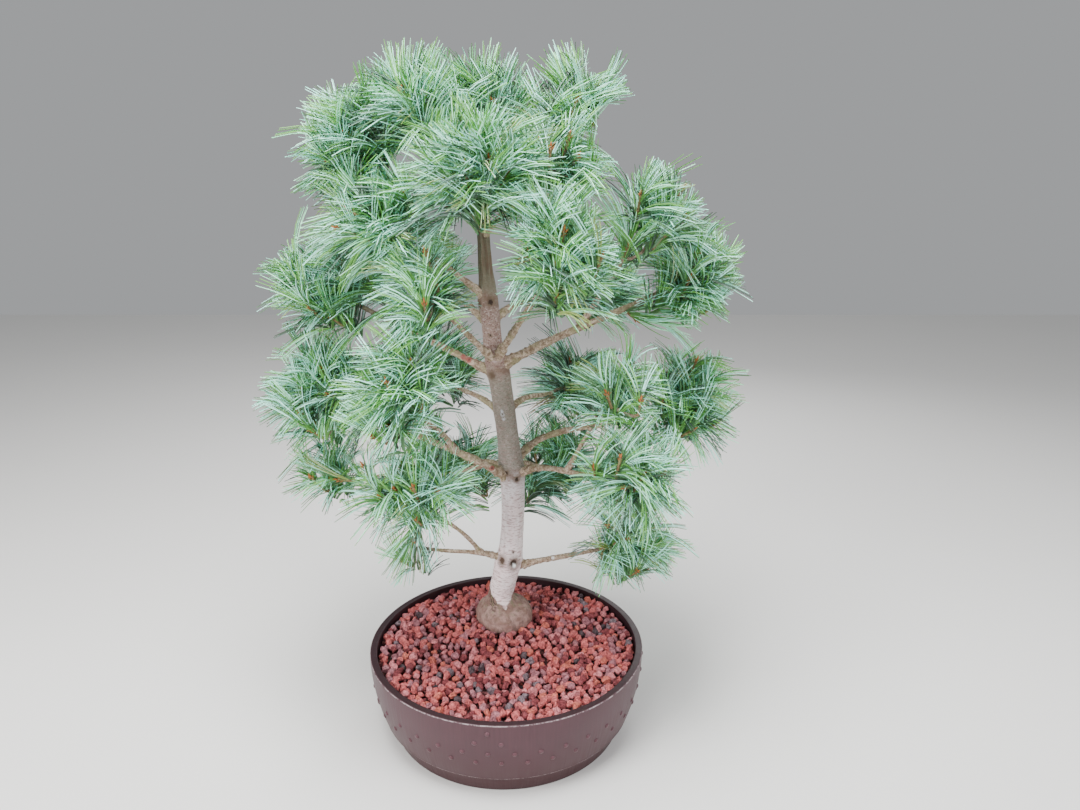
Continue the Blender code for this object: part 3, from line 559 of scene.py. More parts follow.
def barkPaint():
    paint = Paint("trunk_bark", Roughness=0.80, Specular_IOR_Level=0.22)
    x, y, z = paint.axes()
    cloud = paint.grain(34.0, (1, 1, 0.5))
    blotch = paint.grain(95.0, (1, 1, 1.4))
    streak = paint.grain(150.0, (1, 1, 0.14), 4.0, 0.6)
    # level scars, pale rose low down, and dark flecks that crowd between the third and fourth whorl
    dashes = paint.ramp(paint.grain(150.0, (1, 1, 4.2), 3.0), 0.545, 0.60)
    fleck = paint.ramp(paint.grain(430.0, (1, 1, 1.5), 2.0), 0.56, 0.64)
    pale = paint.ramp(paint.grain(210.0, (1, 1, 1.7), 5.0, 0.7), 0.50, 0.62)
    pores = paint.ramp(paint.grain(380.0, (1, 1, 1.8), 4.0, 0.65), 0.52, 0.62)
    lower = paint.fade(z, *levels["grey"])
    crowded = paint.ramp(z, *levels["crowded"]) * paint.fade(z, *levels["sparse"])
    upper = paint.ramp(z, *levels["dark"])
    lowest, highest = bark["zones"][0][0], bark["zones"][-1][0]
    stops = [((height - lowest) / (highest - lowest), (*colour, 1.0)) for height, colour in bark["zones"]]
    rise = paint.ramp(z + (cloud - 0.5) * 0.03, lowest, highest)
    base = paint.cover(
        paint.add("ShaderNodeValToRGB", {"stops": stops}, {"Fac": rise}),
        (paint.ramp(streak, 0.52, 0.68) * (0.25 + upper * 0.65), bark["knot"]),
        (paint.ramp(blotch, 0.48, 0.72) * lower * 0.35, bark["palest"]),
        (pale * (1 - lower) * (1 - upper) * (0.42 + crowded * 0.40), bark["mottle"]),
        (paint.ramp(cloud, 0.42, 0.60) * lower * 0.55, bark["blush"]),
        (dashes * (1 - upper) * (0.30 + lower * 0.35), bark["dash"]),
        (pores * (1 - lower * 0.75) * 0.50, bark["knot"]),
        (fleck * (0.12 + crowded * 0.75), bark["fleck"]),
    )
    healed = paint.ramp(blotch, 0.38, 0.58) * 0.75
    for whorl in trunk["whorls"][1:4]:  # where the boughs leave
        base = paint.mix(paint.fade(abs(z - whorl), 0.002, 0.011) * healed, base, bark["collar"])
    base, foot, crack = footPaint(paint, base, x, y, z)
    wander = paint.add("ShaderNodeTexNoise", {}, {"Vector": paint.place(), "Scale": 330.0}, out=1)
    spot = paint.vector("MULTIPLY_ADD", wander, (scarForm["wander"],) * 3, paint.place())
    spot = paint.vector("MULTIPLY", spot, (1.0, 1.0, scarForm["flat"]))
    for height, bearing, radius, _, kind in scars:
        middle = trunkPoint(height) + bearingVector(bearing) * trunkPlace(height)[2]
        middle += Vector((scarForm["wander"] / 2,) * 3)
        middle.z *= scarForm["flat"]
        away = paint.vector("DISTANCE", spot, middle, out="Value")
        halo = paint.fade(away, *[radius * share for share in scarForm["halo"]])
        core = paint.fade(away, *[radius * share for share in scarForm["core"]])
        around = bark[kind if kind in ("resin", "lilac") else "knot"]
        base = paint.cover(base, (halo * 0.85, around), (core, bark[kind]))
    paint.show("Base Color", base)
    grooves = dashes * 0.3 + fleck * crowded * 0.5 + streak * upper * 1.2 + crack * foot * 1.4
    paint.bump(cloud * 0.5 + blotch * 0.4 - grooves, 0.8, 0.0014)
    return paint


def footPaint(paint, above, x, y, z):
    # the swollen foot: rough brown bark with dark cracks, mossy at the back of its top
    across, behind = trunkPlace(graft["low"])[:2]
    bearing = y.maths("ARCTAN2", y - behind, x - across)
    turned = abs(bearing - math.radians(graft["bearing"]))
    edge = graft["low"] + paint.ramp(turned, 0.0, math.radians(graft["turn"])) * graft["rise"]
    rough = paint.grain(150.0)
    foot = paint.fade(z + (rough - 0.5) * graft["rough"] - edge, -graft["edge"], graft["edge"])
    cloud = paint.grain(75.0, (1, 1, 1.6))
    fine = paint.grain(420.0, (1, 1, 2.2), 5.0, 0.65)
    wrinkle = paint.grain(170.0, (1, 1, 0.35), 4.0, 0.6)
    # dark folds beside the left arm of the pale point, broken by a slow noise
    slow = paint.grain(90.0, (1, 1, 0.7), 3.0, 0.6)
    left = abs(bearing - math.radians(graft["foldBearing"]))
    crack = 0.0
    for below in graft["folds"]:
        away = abs(edge - z - below + (slow - 0.5) * graft["foldWander"])
        crack = paint.fade(away, *graft["foldWidth"]) + crack
    crack = crack * paint.fade(left, *graft["foldTurn"]) * paint.ramp(fine, 0.40, 0.50)
    base = paint.cover(
        paint.mix(paint.ramp(cloud, 0.40, 0.62), bark["foot"], bark["footPale"]),
        (paint.ramp(rough, 0.52, 0.62) * paint.ramp(z, *graft["moss"]) * 0.7, bark["moss"]),
        (paint.ramp(fine, 0.54, 0.68) * 0.5, shade(bark["foot"], 0.5)),
        (paint.ramp(wrinkle, 0.50, 0.62) * 0.5, shade(bark["foot"], 0.45)),
        (paint.ramp(crack, 0.0, 1.0) * 0.85, bark["pith"]),
    )
    return paint.mix(foot, above, base), foot, crack


def twigPaint(name, colour, dark, mossy, marks=()):
    paint = Paint(name, Roughness=0.85, Specular_IOR_Level=0.25)
    cloud = paint.grain(55.0, detail=3.0)
    patch = paint.grain(230.0, detail=5.0, rough=0.65)
    fine = paint.grain(700.0, rough=0.65)
    base = paint.cover(
        paint.mix(paint.ramp(patch, 0.40, 0.60), dark, colour),
        (paint.ramp(cloud, 0.50, 0.60) * 0.6, mossy),
        (paint.ramp(patch, 0.60, 0.70) * 0.5, shade(colour, 1.45)),
        (paint.ramp(fine, 0.54, 0.64) * 0.75, shade(dark, 0.45)),
    )
    for bough, share, radius, kind in marks:
        line = boughLine(limbs[bough])
        spot = line[int(share * (len(line) - 1))]
        spot = spot + (Vector(view["place"]) - spot).normalized() * limbs[bough]["radii"][0]
        away = paint.vector("DISTANCE", paint.place(), spot, out="Value") + (patch - 0.5) * radius
        base = paint.mix(paint.fade(away, radius * 0.7, radius), base, bark[kind])
        if kind == "wound":
            base = paint.mix(paint.fade(away, radius * 0.15, radius * 0.35), base, bark["pith"])
    paint.show("Base Color", base)
    paint.bump(patch * 0.8 + fine * 0.6, 0.9, 0.0013)
    return paint


def plainPaint(name, colour, rough, grain=240.0, spread=0.22, depth=0.0006, specular=0.3):
    paint = Paint(name, Roughness=rough, Specular_IOR_Level=specular)
    cloud = paint.grain(grain)
    paint.show("Base Color", paint.mix(cloud, shade(colour, 1 - spread), shade(colour, 1 + spread)))
    paint.bump(cloud, 0.5, depth)
    return paint


def bulgeReaches(height, out):
    # how far out each lobe of the swollen foot reaches from the trunk's middle, level with this height
    reaches = []
    for bearing, away, size in trunk["bulges"]:
        centre = trunkPoint(trunk["bulgeZ"]) + bearingVector(bearing) * away
        level = (height - trunk["bulgeZ"]) / (size * trunk["bulgeSquash"])
        across = (centre - trunkPoint(height)).xy
        along = across.dot(out.xy)
        inside = size * size * (1 - level * level) - (across.length_squared - along * along)
        if abs(level) < 1 and inside > 0:
            reaches.append(max(0.0, along + math.sqrt(inside)))
    return reaches


def layered(place, stretch, layers):
    spot = Vector((place.x, place.y, place.z * stretch))
    return sum(noise.noise(spot * grains) * strength for grains, strength in layers)


def barkRelief(place, swollen):
    ridges = layered(place, relief["ridgeStretch"], relief["ridges"])
    rough = layered(place, 1.0, relief["lumps"]) + layered(place, relief["crackStretch"], relief["cracks"])
    return relief["height"] * (ridges + min(1.0, max(0.0, swollen)) * rough)


def collarSwell(place, foot, wide):
    # the bark swells where a bough leaves
    away = (place - foot).length / wide
    if away >= relief["collarEnd"]:
        return 0.0
    return relief["collarSwell"] * wide * math.exp(-((away / relief["collarReach"]) ** 2))


def furrowHeight(height, degrees, furrow):
    # a groove with low lips, which starts and ends softly
    low, high, bearing, wide, depth = furrow
    off = abs((degrees - bearing + 180) % 360 - 180) / wide
    fade = min(1.0, (height - low) / relief["furrowStart"], (high - height) / relief["furrowEnd"])
    lips = relief["furrowLip"] * math.exp(-((off - relief["lipAway"]) ** 2))
    return depth * max(0.0, fade) * (lips - math.exp(-(off * off)))


def scarHeight(place, middle, radius, rise):
    # a ring of healed bark with a sunken middle
    away = (place - middle).length / radius
    ring = math.exp(-(((away - 1) / scarForm["ring"]) ** 2))
    return rise * (ring - scarForm["sunk"] * math.exp(-((away / scarForm["pit"]) ** 2)))


def makeTrunk():
    rings, sides = trunk["rings"], trunk["sides"]
    low, high = trunk["seat"], trunk["stations"][-1][0]
    marks = []
    for height, bearing, radius, rise, _ in scars:
        marks.append((trunkPoint(height) + bearingVector(bearing) * trunkPlace(height)[2], radius, rise))
    collars = []
    for planned in limbs.values():
        if planned["parent"] == "trunk":
            foot = planned["foot"] - planned["first"] * (limb["collarReach"] * relief["collarSunk"])
            collars.append((foot, planned["radii"][0]))
    points = []
    for i in range(rings):
        height = low + (high - low) * (i / (rings - 1)) ** relief["ringSpread"]
        middle = trunkPoint(height)
        radius = trunkPlace(height)[2]
        for j in range(sides):
            angle = 2 * math.pi * j / sides
            out = Vector((math.cos(angle), math.sin(angle), 0.0))
            power = relief["blend"]
            reach = sum(value**power for value in [radius, *bulgeReaches(height, out)]) ** (1 / power)
            place = middle + out * reach
            reach += barkRelief(place, (reach - radius) / relief["swollen"])
            reach += sum(collarSwell(place, *collar) for collar in collars)
            reach += sum(furrowHeight(height, math.degrees(angle), furrow) for furrow in furrows)
            reach += sum(scarHeight(place, *mark) for mark in marks)
            points.append(middle + out * reach)
    points += [trunkPoint(low), trunkPoint(high)]
    heap = Heap()
    heap.add([tuple(point) for point in points], tubeFaces(rings, sides))
    return heap.build("bark_trunk", [barkPaint()])


def makeBoughs():
    heap = Heap()
    for number, planned in enumerate(limbs.values()):
        line = boughLine(planned)
        foot = planned["foot"]
        thick = planned["radii"][0]
        root = foot - planned["first"] * (planned["out"] * flare["sunk"])
        shares = [i / flare["rings"] for i in range(flare["rings"])]
        lead = [root.lerp(foot, share) for share in shares]
        radii = [thick * (flare["widest"] - flare["narrowing"] * share) for share in shares]
        for i, place in enumerate(line):
            away = (place - foot).length
            radius = thick * (1 - (1 - limb["tipShare"]) * i / (len(line) - 1))
            radius *= flare["base"] + flare["swell"] * math.exp(-away / (thick * flare["reach"]))
            radii.append(radius * (1 + whorlWaves["height"] * math.sin(away * whorlWaves["turn"] + number)))
        heap.add(*tubeArrays(lead + line, radii, limb["fineSides"], 0.30, 420.0, number))
    paint = twigPaint("bough_bark", (0.60, 0.47, 0.37), (0.25, 0.165, 0.110), (0.30, 0.27, 0.14), boughMarks)
    return heap.build("bark_boughs", [paint])


fit(makeTrunk(), "bark", "trunk")
fit(makeBoughs(), "bark", *["bough_" + name for name in limbs])
print("bark grown")


# Masses: each keeps to its own space, and its sprays stand where the frame's do, with more between them

class Spaces:
    def __init__(self):
        self.names = list(boughs)
        self.middles = np.array([massMiddle(mass) for _, mass in boughs.values()])
        self.sizes = np.array([mass[3:6] for _, mass in boughs.values()])
        top = trunk["stations"][-1][0]
        heights = np.linspace(trunk["seat"], top, crown["trunkSteps"])
        chains = [("", [trunkPoint(z) for z in heights], [trunkPlace(z)[2] for z in heights])]
        chains += [("", planned["points"], planned["radii"]) for planned in limbs.values()]
        chains += [(name, points, [crown["stemRadius"]] * len(points)) for name, points in stems.items()]
        rows = []
        for owner, points, widths in chains:
            for i in range(len(points) - 1):
                rows.append((points[i], points[i + 1], max(widths[i], widths[i + 1]), owner))
        self.starts = np.array([row[0] for row in rows])
        self.runs = np.array([row[1] for row in rows]) - self.starts
        self.radii = np.array([row[2] for row in rows])
        self.owners = np.array([row[3] for row in rows])

    def depths(self, name, points):
        # how deep points lie in a mass, and in the nearest other one: 0 at the middle, 1 at the skin
        away = (np.asarray(points)[..., None, :] - self.middles) / self.sizes
        depth = np.sqrt((away**2).sum(axis=-1))
        own = self.names.index(name)
        return depth[..., own], np.delete(depth, own, axis=-1).min(axis=-1)

    def gap(self, points, mine):
        away = np.asarray(points)[..., None, :] - self.starts[mine]
        runs = self.runs[mine]
        along = np.clip((away * runs).sum(axis=-1) / (runs**2).sum(axis=-1), 0.0, 1.0)
        return np.linalg.norm(away - along[..., None] * runs, axis=-1) - self.radii[mine]

    def holds(self, name, place, margin):
        own, other = self.depths(name, place)
        return own <= 1.0 and own < other - margin

    def clear(self, name, place, width):
        return (self.gap(place, self.owners != name) > width + crown["limbMargin"]).all()


spaces = Spaces()

photo = {"width": 1080, "height": 810}
focal = view["lens"] / view["sensor"] * photo["width"]  # in the photo's pixels
tilt = math.radians(view["down"])
viewAhead = np.array((0.0, math.cos(tilt), -math.sin(tilt)))
viewUp = np.array((0.0, math.sin(tilt), math.cos(tilt)))
# buds that the photo shows in each mass: pixels across and down, then the way that the shoot points,
# as its swing on the picture (0 right, 90 up) and how far it turns to the viewer, in degrees
shownBuds = {
    "top_right": ((576, 103, 66, 12),),
    "right_neck": ((550, 154, 84, 20),),
    "top_front": ((466, 172, 96, 20), (484, 197, 80, 22)),
    "top_left": ((402, 93, 112, 10), (422, 125, 100, 22)),
    "left_shoulder": ((374, 118, 110, 18), (352, 136, 152, 10)),
    "left_mid_high": ((408, 197, 118, 22), (352, 212, 146, 12), (342, 230, 160, 5)),
    "left_tip_high": ((369, 282, 122, 22), (334, 319, 140, 20)),
    "left_front_high": ((427, 257, 108, 20), (425, 309, 94, 25)),
    "left_front_mid": ((388, 387, 104, 27), (377, 439, 150, 30)),
    "left_tip_mid": ((335, 396, 160, 15),),
    "left_tip_low": ((343, 480, 172, 25),),
    "left_front_low": ((398, 491, 125, 52), (432, 492, 20, 30), (366, 470, 118, 24)),
    "back_low_left": ((486, 487, 100, -5), (462, 470, 130, 10)),
    "back_low_right": ((531, 493, 62, 5), (552, 478, 40, 0)),
    "low_left": ((414, 538, 262, 58),),
    "right_front_high": ((556, 272, 92, 20), (600, 262, 70, 20)),
    "right_mid_high": ((660, 240, 50, 15), (628, 247, 74, 20)),
    "right_tip_high": ((669, 295, 42, 24), (634, 318, 315, 42), (616, 314, 300, 15)),
    "right_front_mid": ((608, 398, 112, 22), (640, 405, 82, 24)),
    "right_tip_mid": ((689, 432, 32, 20),),
    "right_front_low": ((642, 478, 64, 36), (628, 487, 190, 38)),
    "low_right": ((624, 540, 34, 42), (612, 528, 150, 24), (646, 530, 20, 24)),
}
tufts = {
    "shownDepth": 0.42, "deepest": 0.95, "apart": 0.024, "spacing": 0.0195, "depth": (0.08, 0.72),
    "overlap": 0.08, "most": 16, "perLitre": 9.6, "aim": (0.50, 0.42, 0.92), "turnBack": -0.15,
    "room": 0.050, "roomLimit": 1.08,
}
allTufts = []


def underPixel(name, across, down):
    # the place in a mass that a pixel of the photo shows, part of the way from its middle to its near skin
    eye = np.array(view["place"])
    mass = boughs[name][1]
    sizes = np.array(mass[3:6])
    ray = viewAhead + viewUp * (photo["height"] / 2 - down) / focal
    ray[0] += (across - photo["width"] / 2) / focal
    start = (eye - np.array(massMiddle(mass))) / sizes
    run = ray / sizes
    nearest = -start.dot(run) / run.dot(run)
    depth = min(tufts["deepest"], np.linalg.norm(start + run * nearest))
    half = math.sqrt((1 - depth * depth) / run.dot(run))
    return Vector(eye + ray * (nearest - half * tufts["shownDepth"]))


def shownAim(swing, facing):
    swing, facing = math.radians(swing), math.radians(facing)
    across = Vector((math.cos(facing) * math.cos(swing), 0.0, 0.0))
    rise = Vector(viewUp) * (math.cos(facing) * math.sin(swing))
    return (across + rise + Vector(-viewAhead) * math.sin(facing)).normalized()


def inSkyGap(points):
    # turns points into the photo's pixels, and tests them against its gaps
    away = points - np.array(view["place"])
    pixels = focal / (away @ viewAhead)
    across = photo["width"] / 2 + away[..., 0] * pixels
    down = photo["height"] / 2 - away @ viewUp * pixels
    return np.any([np.hypot(across - x, down - y) < radius for x, y, radius in skyGaps], axis=0)


def bestSpray(name, earlier, rng, fill):
    # the best of some tries: far from the earlier ones, and rather outward and high
    mass = boughs[name][1]
    middle = massMiddle(mass)
    sizes = Vector(mass[3:6])
    outward = Vector((middle.x - crown["axis"][0], middle.y - crown["axis"][1], 0.0)).normalized()
    lean, out, up = tufts["aim"]
    best = None
    bestScore = tufts["spacing"] if fill else -1.0
    for _ in range(crown["tries"]):
        turn = Vector([rng.gauss(0, 1) for _ in range(3)]).normalized()
        depth = rng.uniform(*(tufts["depth"] if fill else crown["depth"]))
        place = middle + Vector([a * b * depth for a, b in zip(turn, sizes)])
        if not spaces.holds(name, place, -tufts["overlap"] if fill else crown["margin"]):
            continue
        if not spaces.clear(name, place, crown["coreRadius"] * (1 if fill else 2)):
            continue
        if inSkyGap(np.array(place)):
            continue
        ahead = (turn * lean + outward * out + Vector((0, 0, up))).normalized()
        if fill and min(spaces.depths(name, place + ahead * tufts["room"])) > tufts["roomLimit"]:
            continue
        if fill and ahead.dot((place - stems[name][-2]).normalized()) < tufts["turnBack"]:
            continue
        score = min([(place - other).length for other, _ in earlier] + [crown["far"]])
        if not fill or score > tufts["spacing"]:
            score += crown["outwardWorth"] * turn.dot(outward) + crown["upwardWorth"] * turn.z
        if score > bestScore:
            best = (place, ahead)
            bestScore = score
    return best


def sprayPlaces(name, rng):
    mass = boughs[name][1]
    own = []
    for _ in range(mass[6]):
        own.append(bestSpray(name, own, rng, False))
    sprays = []
    for across, down, *aim in shownBuds.get(name, ()):
        sprays.append((underPixel(name, across, down), shownAim(*aim)))
    shown = [place for place, _ in sprays]
    sprays += [spray for spray in own if all((spray[0] - other).length > tufts["apart"] for other in shown)]
    litres = 4 / 3 * math.pi * mass[3] * mass[4] * mass[5] * 1000
    while len(sprays) < min(tufts["most"], round(litres * tufts["perLitre"])):
        spray = bestSpray(name, allTufts + sprays, rng, True)
        if spray is None:
            break
        sprays.append(spray)
    allTufts.extend(sprays)
    return sprays


# a needle's form, and how its bundles stand on a shoot and bend
needle = {
    "length": 0.066, "spread": 0.05, "radius": 0.00062, "bundles": 50, "lock": 2, "inBundle": 5,
    "fullSize": 0.058, "shoot": (-0.042, 0.006), "stemRadius": 0.0010, "spiral": 137.5,
    "heights": (0.35, 0.70), "backAngle": (86, 60), "frontAngle": 8, "sweep": 0.78, "lockTurn": 0.32,
    "lockSweep": 0.12, "pairSweep": 5,
    "droop": ((1.10, 2.00), (0.40, 1.10)), "droopTurn": 1.6, "droopUpright": 0.3, "heavy": (1.08, 0.70),
    "curl": (0.35, 1.10), "sway": 0.06, "tuftLength": (0.92, 1.05), "lengthLimits": (-0.10, 0.08),
    "oldest": (0.80, 1.0), "oldShare": 0.45, "fan": (0.05, 0.15), "fanEach": (0.6, 1.4), "swayEach": 0.03,
    "lengthEach": (0.95, 1.03), "bundleRadius": 0.0006, "fold": (-105, 0, 105),
    "shares": (0.0, 0.25, 0.50, 0.76, 1.0), "widths": (0.62, 1.0, 1.0, 0.95, 0.60), "waxy": (0.58, 0.36),
}
# how far a needle may reach, as shares of its mass's size, and what its length is cut to beyond that
keeping = {
    "lengths": (1.0, 0.94, 0.88, 0.82, 0.76), "tested": (0.4, 0.7, 1.0), "tuft": (0.84, 0.94),
    "lock": (-0.26, 0.30), "own": 1.6, "overlap": 0.55, "least": 0.15, "beyondBox": 0.008, "limbGap": 0.0012,
    "behind": {"from": 0.07, "within": 0.16, "below": 0.6, "more": 0.40},
}
# how much further needles hang out of some masses
hanging = {
    "top_front": 0.16, "right_tip_high": 0.28, "low_left": 0.10, "low_right": 0.14, "left_front_low": 0.12,
    "right_front_high": 0.16, "left_front_high": 0.12, "right_front_low": 0.12, "left_mid_high": 0.30,
}
# where the photo shows open air between or beside the masses: pixels across, down, and radius
skyGaps = (
    (622, 131, 29), (601, 62, 14), (580, 343, 12), (598, 340, 11), (664, 340, 8), (716, 334, 17),
    (744, 330, 20), (692, 486, 16), (686, 574, 16), (654, 596, 14), (722, 190, 20), (290, 170, 16),
    (268, 240, 12), (252, 350, 12), (300, 520, 14), (352, 560, 16), (762, 392, 14), (486, 238, 11),
    (486, 258, 11), (488, 278, 11), (491, 298, 11), (494, 318, 12), (498, 336, 12), (500, 354, 11),
    (470, 276, 8), (508, 250, 9), (516, 345, 8), (538, 462, 8), (446, 398, 9), (448, 418, 9),
    (452, 436, 8), (260, 290, 11), (278, 330, 6), (274, 366, 10), (356, 530, 10), (632, 78, 8),
    (738, 302, 14), (752, 262, 12), (750, 284, 10), (648, 146, 11), (672, 154, 13), (694, 172, 10),
    (294, 116, 12), (296, 142, 10),
)
tones = {  # the outer face of a needle, then its two waxy inner faces
    "fresh": ((0.17, 0.43, 0.095), (0.46, 0.97, 0.64)),
    "blue": ((0.112, 0.25, 0.110), (0.49, 0.98, 0.82)),
    # a dark tone that is painted shade, for needles deep in the crown and at the feet of shoots
    "deep": ((0.055, 0.094, 0.058), (0.19, 0.30, 0.25)),
    "old": ((0.33, 0.43, 0.13), (0.55, 0.67, 0.38)),
    "dry": ((0.30, 0.21, 0.10), (0.42, 0.34, 0.20)),
}
# how many of a hundred bundles have each tone, at the foot, the middle and the tip of a shoot; inner bundles,
# in the shaded heart and back of the crown, take more of the dark painted-shade tone
toneShares = {
    "outer": ((26, 50, 18, 5, 1), (34, 54, 10, 2, 0), (56, 42, 1, 1, 0)),
    "inner": ((6, 32, 53, 7, 2), (10, 44, 43, 3, 0), (24, 48, 27, 1, 0)),
}
shadedCrown = {"within": 0.105, "below": 0.68, "behind": 0.16, "behindBelow": 0.5}
boxLow = np.array(cadLow) - keeping["beyondBox"]
boxHigh = np.array(cadHigh) + keeping["beyondBox"]


def needlePaints():
    paints = []
    for name, (green, waxy) in tones.items():
        paints.append(plainPaint("needle_" + name, green, 0.42, 90.0, 0.16, 0.0002, 0.4))
        paints.append(plainPaint("needle_" + name + "_waxy", waxy, 0.58, 90.0, 0.10, 0.0002, 0.3))
    return paints


def unit(vectors):
    return vectors / np.linalg.norm(vectors, axis=1, keepdims=True)


def sideways(aims):
    # two directions square to each aim
    helper = np.where(np.abs(aims[:, 2:3]) < 0.9, (0.0, 0.0, 1.0), (1.0, 0.0, 0.0))
    first = unit(np.cross(aims, helper))
    return first, np.cross(aims, first)


def roundTurn(turn, first, second):
    return np.cos(turn)[:, None] * first + np.sin(turn)[:, None] * second


def perLock(dice, ends, lock):
    return dice.uniform(*ends, lock[-1] + 1)[lock]


def bundleAims(place, ahead, dice):
    # locks of bundles spiral up the shoot, swept back at its foot and nearly straight ahead at its tip
    count = needle["bundles"]
    lock = np.arange(count) // needle["lock"]
    share = (lock + 0.5) / (lock[-1] + 1)
    axis = np.array(ahead)
    turn = lock * math.radians(needle["spiral"]) + dice.uniform(0, 6.28)
    turn = turn + dice.normal(0, needle["lockTurn"], count)
    back = np.interp(place.z, needle["heights"], needle["backAngle"])  # the higher a tuft, the more upright
    sweep = back + (needle["frontAngle"] - back) * share ** needle["sweep"]
    sweep = np.radians(sweep + dice.normal(0, needle["pairSweep"], lock[-1] + 1)[lock])
    sweep = (sweep + dice.normal(0, needle["lockSweep"], count))[:, None]
    radial = roundTurn(turn, *[vector[0] for vector in sideways(axis[None, :])])
    low, high = needle["shoot"]
    along = low + (high - low) * (np.arange(count) + 0.5) / count
    roots = np.array(place) + axis * along[:, None] + radial * needle["stemRadius"]
    return roots, np.cos(sweep) * axis + np.sin(sweep) * radial, radial, share, lock


def bundleBends(place, aims, radial, share, lock, dice):
    # bundles droop, the ones at a shoot's foot and the level ones most, and curl outwards a little
    foot, tip = [perLock(dice, ends, lock) for ends in needle["droop"]]
    level = np.sqrt(np.clip(1 - aims[:, 2] ** 2, 0.0, 1.0))
    curl = perLock(dice, needle["curl"], lock)
    bend = radial * curl[:, None] + dice.normal(0, needle["sway"], aims.shape)
    droop = foot + (tip - foot) * np.clip(share * needle["droopTurn"], 0, 1)
    upright = needle["droopUpright"]
    heavy = np.interp(place.z, needle["heights"], needle["heavy"])
    bend[:, 2] -= droop * (upright + (1 - upright) * level) * heavy
    return bend


def growNeedles(name, sprays, dice, heap):
    # grows the needles of each tuft that has room for enough of them, and gives back those tufts
    each = needle["inBundle"]
    whole = min(1.0, sum(boughs[name][1][3:6]) / 3 / needle["fullSize"])
    grown = []
    for place, ahead in sprays:
        roots, aims, radial, share, lock = bundleAims(place, ahead, dice)
        bend = bundleBends(place, aims, radial, share, lock, dice)
        length = needle["length"] * whole * dice.uniform(*needle["tuftLength"])
        length = length * (1 + dice.normal(0, needle["spread"], len(roots)).clip(*needle["lengthLimits"]))
        length = length * np.interp(share, (0.0, needle["oldShare"]), needle["oldest"])
        limit = dice.uniform(*keeping["tuft"]) + perLock(dice, keeping["lock"], lock)
        length, kept = fitLengths(name, roots, aims, bend, length, limit)
        if kept.mean() < keeping["least"]:
            continue
        grown.append((place, ahead))
        tone = np.repeat(bundleTones(place, share[kept], dice), each)
        roots, aims, bend, length = [np.repeat(array[kept], each, 0) for array in (roots, aims, bend, length)]
        spin = np.repeat(dice.uniform(0, 6.28, kept.sum()), each)
        turn = np.tile(np.arange(each) * 2 * math.pi / each, kept.sum()) + spin
        facing = roundTurn(turn, *sideways(aims))
        fan = np.repeat(dice.uniform(*needle["fan"], kept.sum()), each)
        fan = fan * dice.uniform(*needle["fanEach"], len(turn))
        start = unit(aims + facing * fan[:, None])
        bend = bend + dice.normal(0, needle["swayEach"], bend.shape)
        length = length * dice.uniform(*needle["lengthEach"], len(length))
        addNeedles(heap, roots + facing * needle["bundleRadius"], start, bend, facing, length, tone, dice)
    return grown


def alongNeedle(roots, start, bend, length, share):
    return roots + length[:, None] * (start * share + bend * (share * share / 2))


def fitLengths(name, roots, start, bend, length, limit):
    # each bundle takes the longest of a few lengths that keeps to the crown's shape and clear of limbs
    best = np.zeros(len(roots))
    thick = spaces.owners == ""
    behind = keeping["behind"]
    for factor in keeping["lengths"]:
        reach = length * factor
        steps = np.stack([alongNeedle(roots, start, bend, reach, t) for t in keeping["tested"]], axis=1)
        own, other = spaces.depths(name, steps)
        x, y, z = np.moveaxis(steps, -1, 0)
        away = np.hypot(x - crown["axis"][0], y - crown["axis"][1])
        hidden = (y > behind["from"]) & (away < behind["within"]) & (z < behind["below"])
        low = z < boughs[name][1][2]
        limits = limit[:, None] + hidden * behind["more"] + low * hanging.get(name, 0.0)
        inside = np.minimum(own, other) <= limits
        inside &= (own <= keeping["own"]) & (own < other + keeping["overlap"])
        inside &= ((steps > boxLow) & (steps < boxHigh)).all(axis=2) & ~inSkyGap(steps)
        free = (spaces.gap(steps, thick) > keeping["limbGap"]).all(axis=2)
        good = (inside & free).all(axis=1) & (best == 0)
        best[good] = reach[good]
    return best, best > 0


def bundleTones(place, share, dice):
    away = math.hypot(place.x - crown["axis"][0], place.y - crown["axis"][1])
    inner = away < shadedCrown["within"] and place.z < shadedCrown["below"]
    inner = inner or place.y > shadedCrown["behind"] and place.z < shadedCrown["behindBelow"]
    # bundles in the shaded heart of the crown take more of the dark painted-shade tone
    shares = np.array(toneShares["inner" if inner else "outer"])[np.minimum((share * 3).astype(int), 2)]
    tone = (np.cumsum(shares, axis=1) / 100 < dice.uniform(0, 1, (len(share), 1))).sum(axis=1)
    return tone.clip(0, len(tones) - 1)


def addNeedles(heap, roots, start, bend, facing, length, tone, dice):
    # a needle is folded along its middle: green near its foot, and waxy white on one or both sides further on
    rings = []
    for share, wide in zip(needle["shares"], needle["widths"]):
        middle = alongNeedle(roots, start, bend, length, share)
        run = unit(start + bend * share)
        out = unit(facing - run * (facing * run).sum(axis=1, keepdims=True))
        over = np.cross(run, out)
        for angle in np.radians(needle["fold"]):
            turned = out * math.cos(angle) + over * math.sin(angle)
            rings.append(middle + turned * needle["radius"] * wide)
    points = np.stack(rings, axis=1)
    rows = len(needle["widths"])
    faces = gridFaces(rows, len(needle["fold"]), False)
    cell = np.tile(np.arange((rows - 1) * 2), 2)
    beyondFoot = cell // 2 > 0
    sides = dice.uniform(0, 1, (len(roots), 1)) < needle["waxy"]
    waxy = sides[:, cell % 2] & beyondFoot
    offsets = np.arange(len(roots))[:, None, None] * points.shape[1]
    kinds = tone[:, None] * 2 + waxy
    heap.add(points.reshape(-1, 3), (faces[None] + offsets).reshape(-1, 3), kinds.reshape(-1))


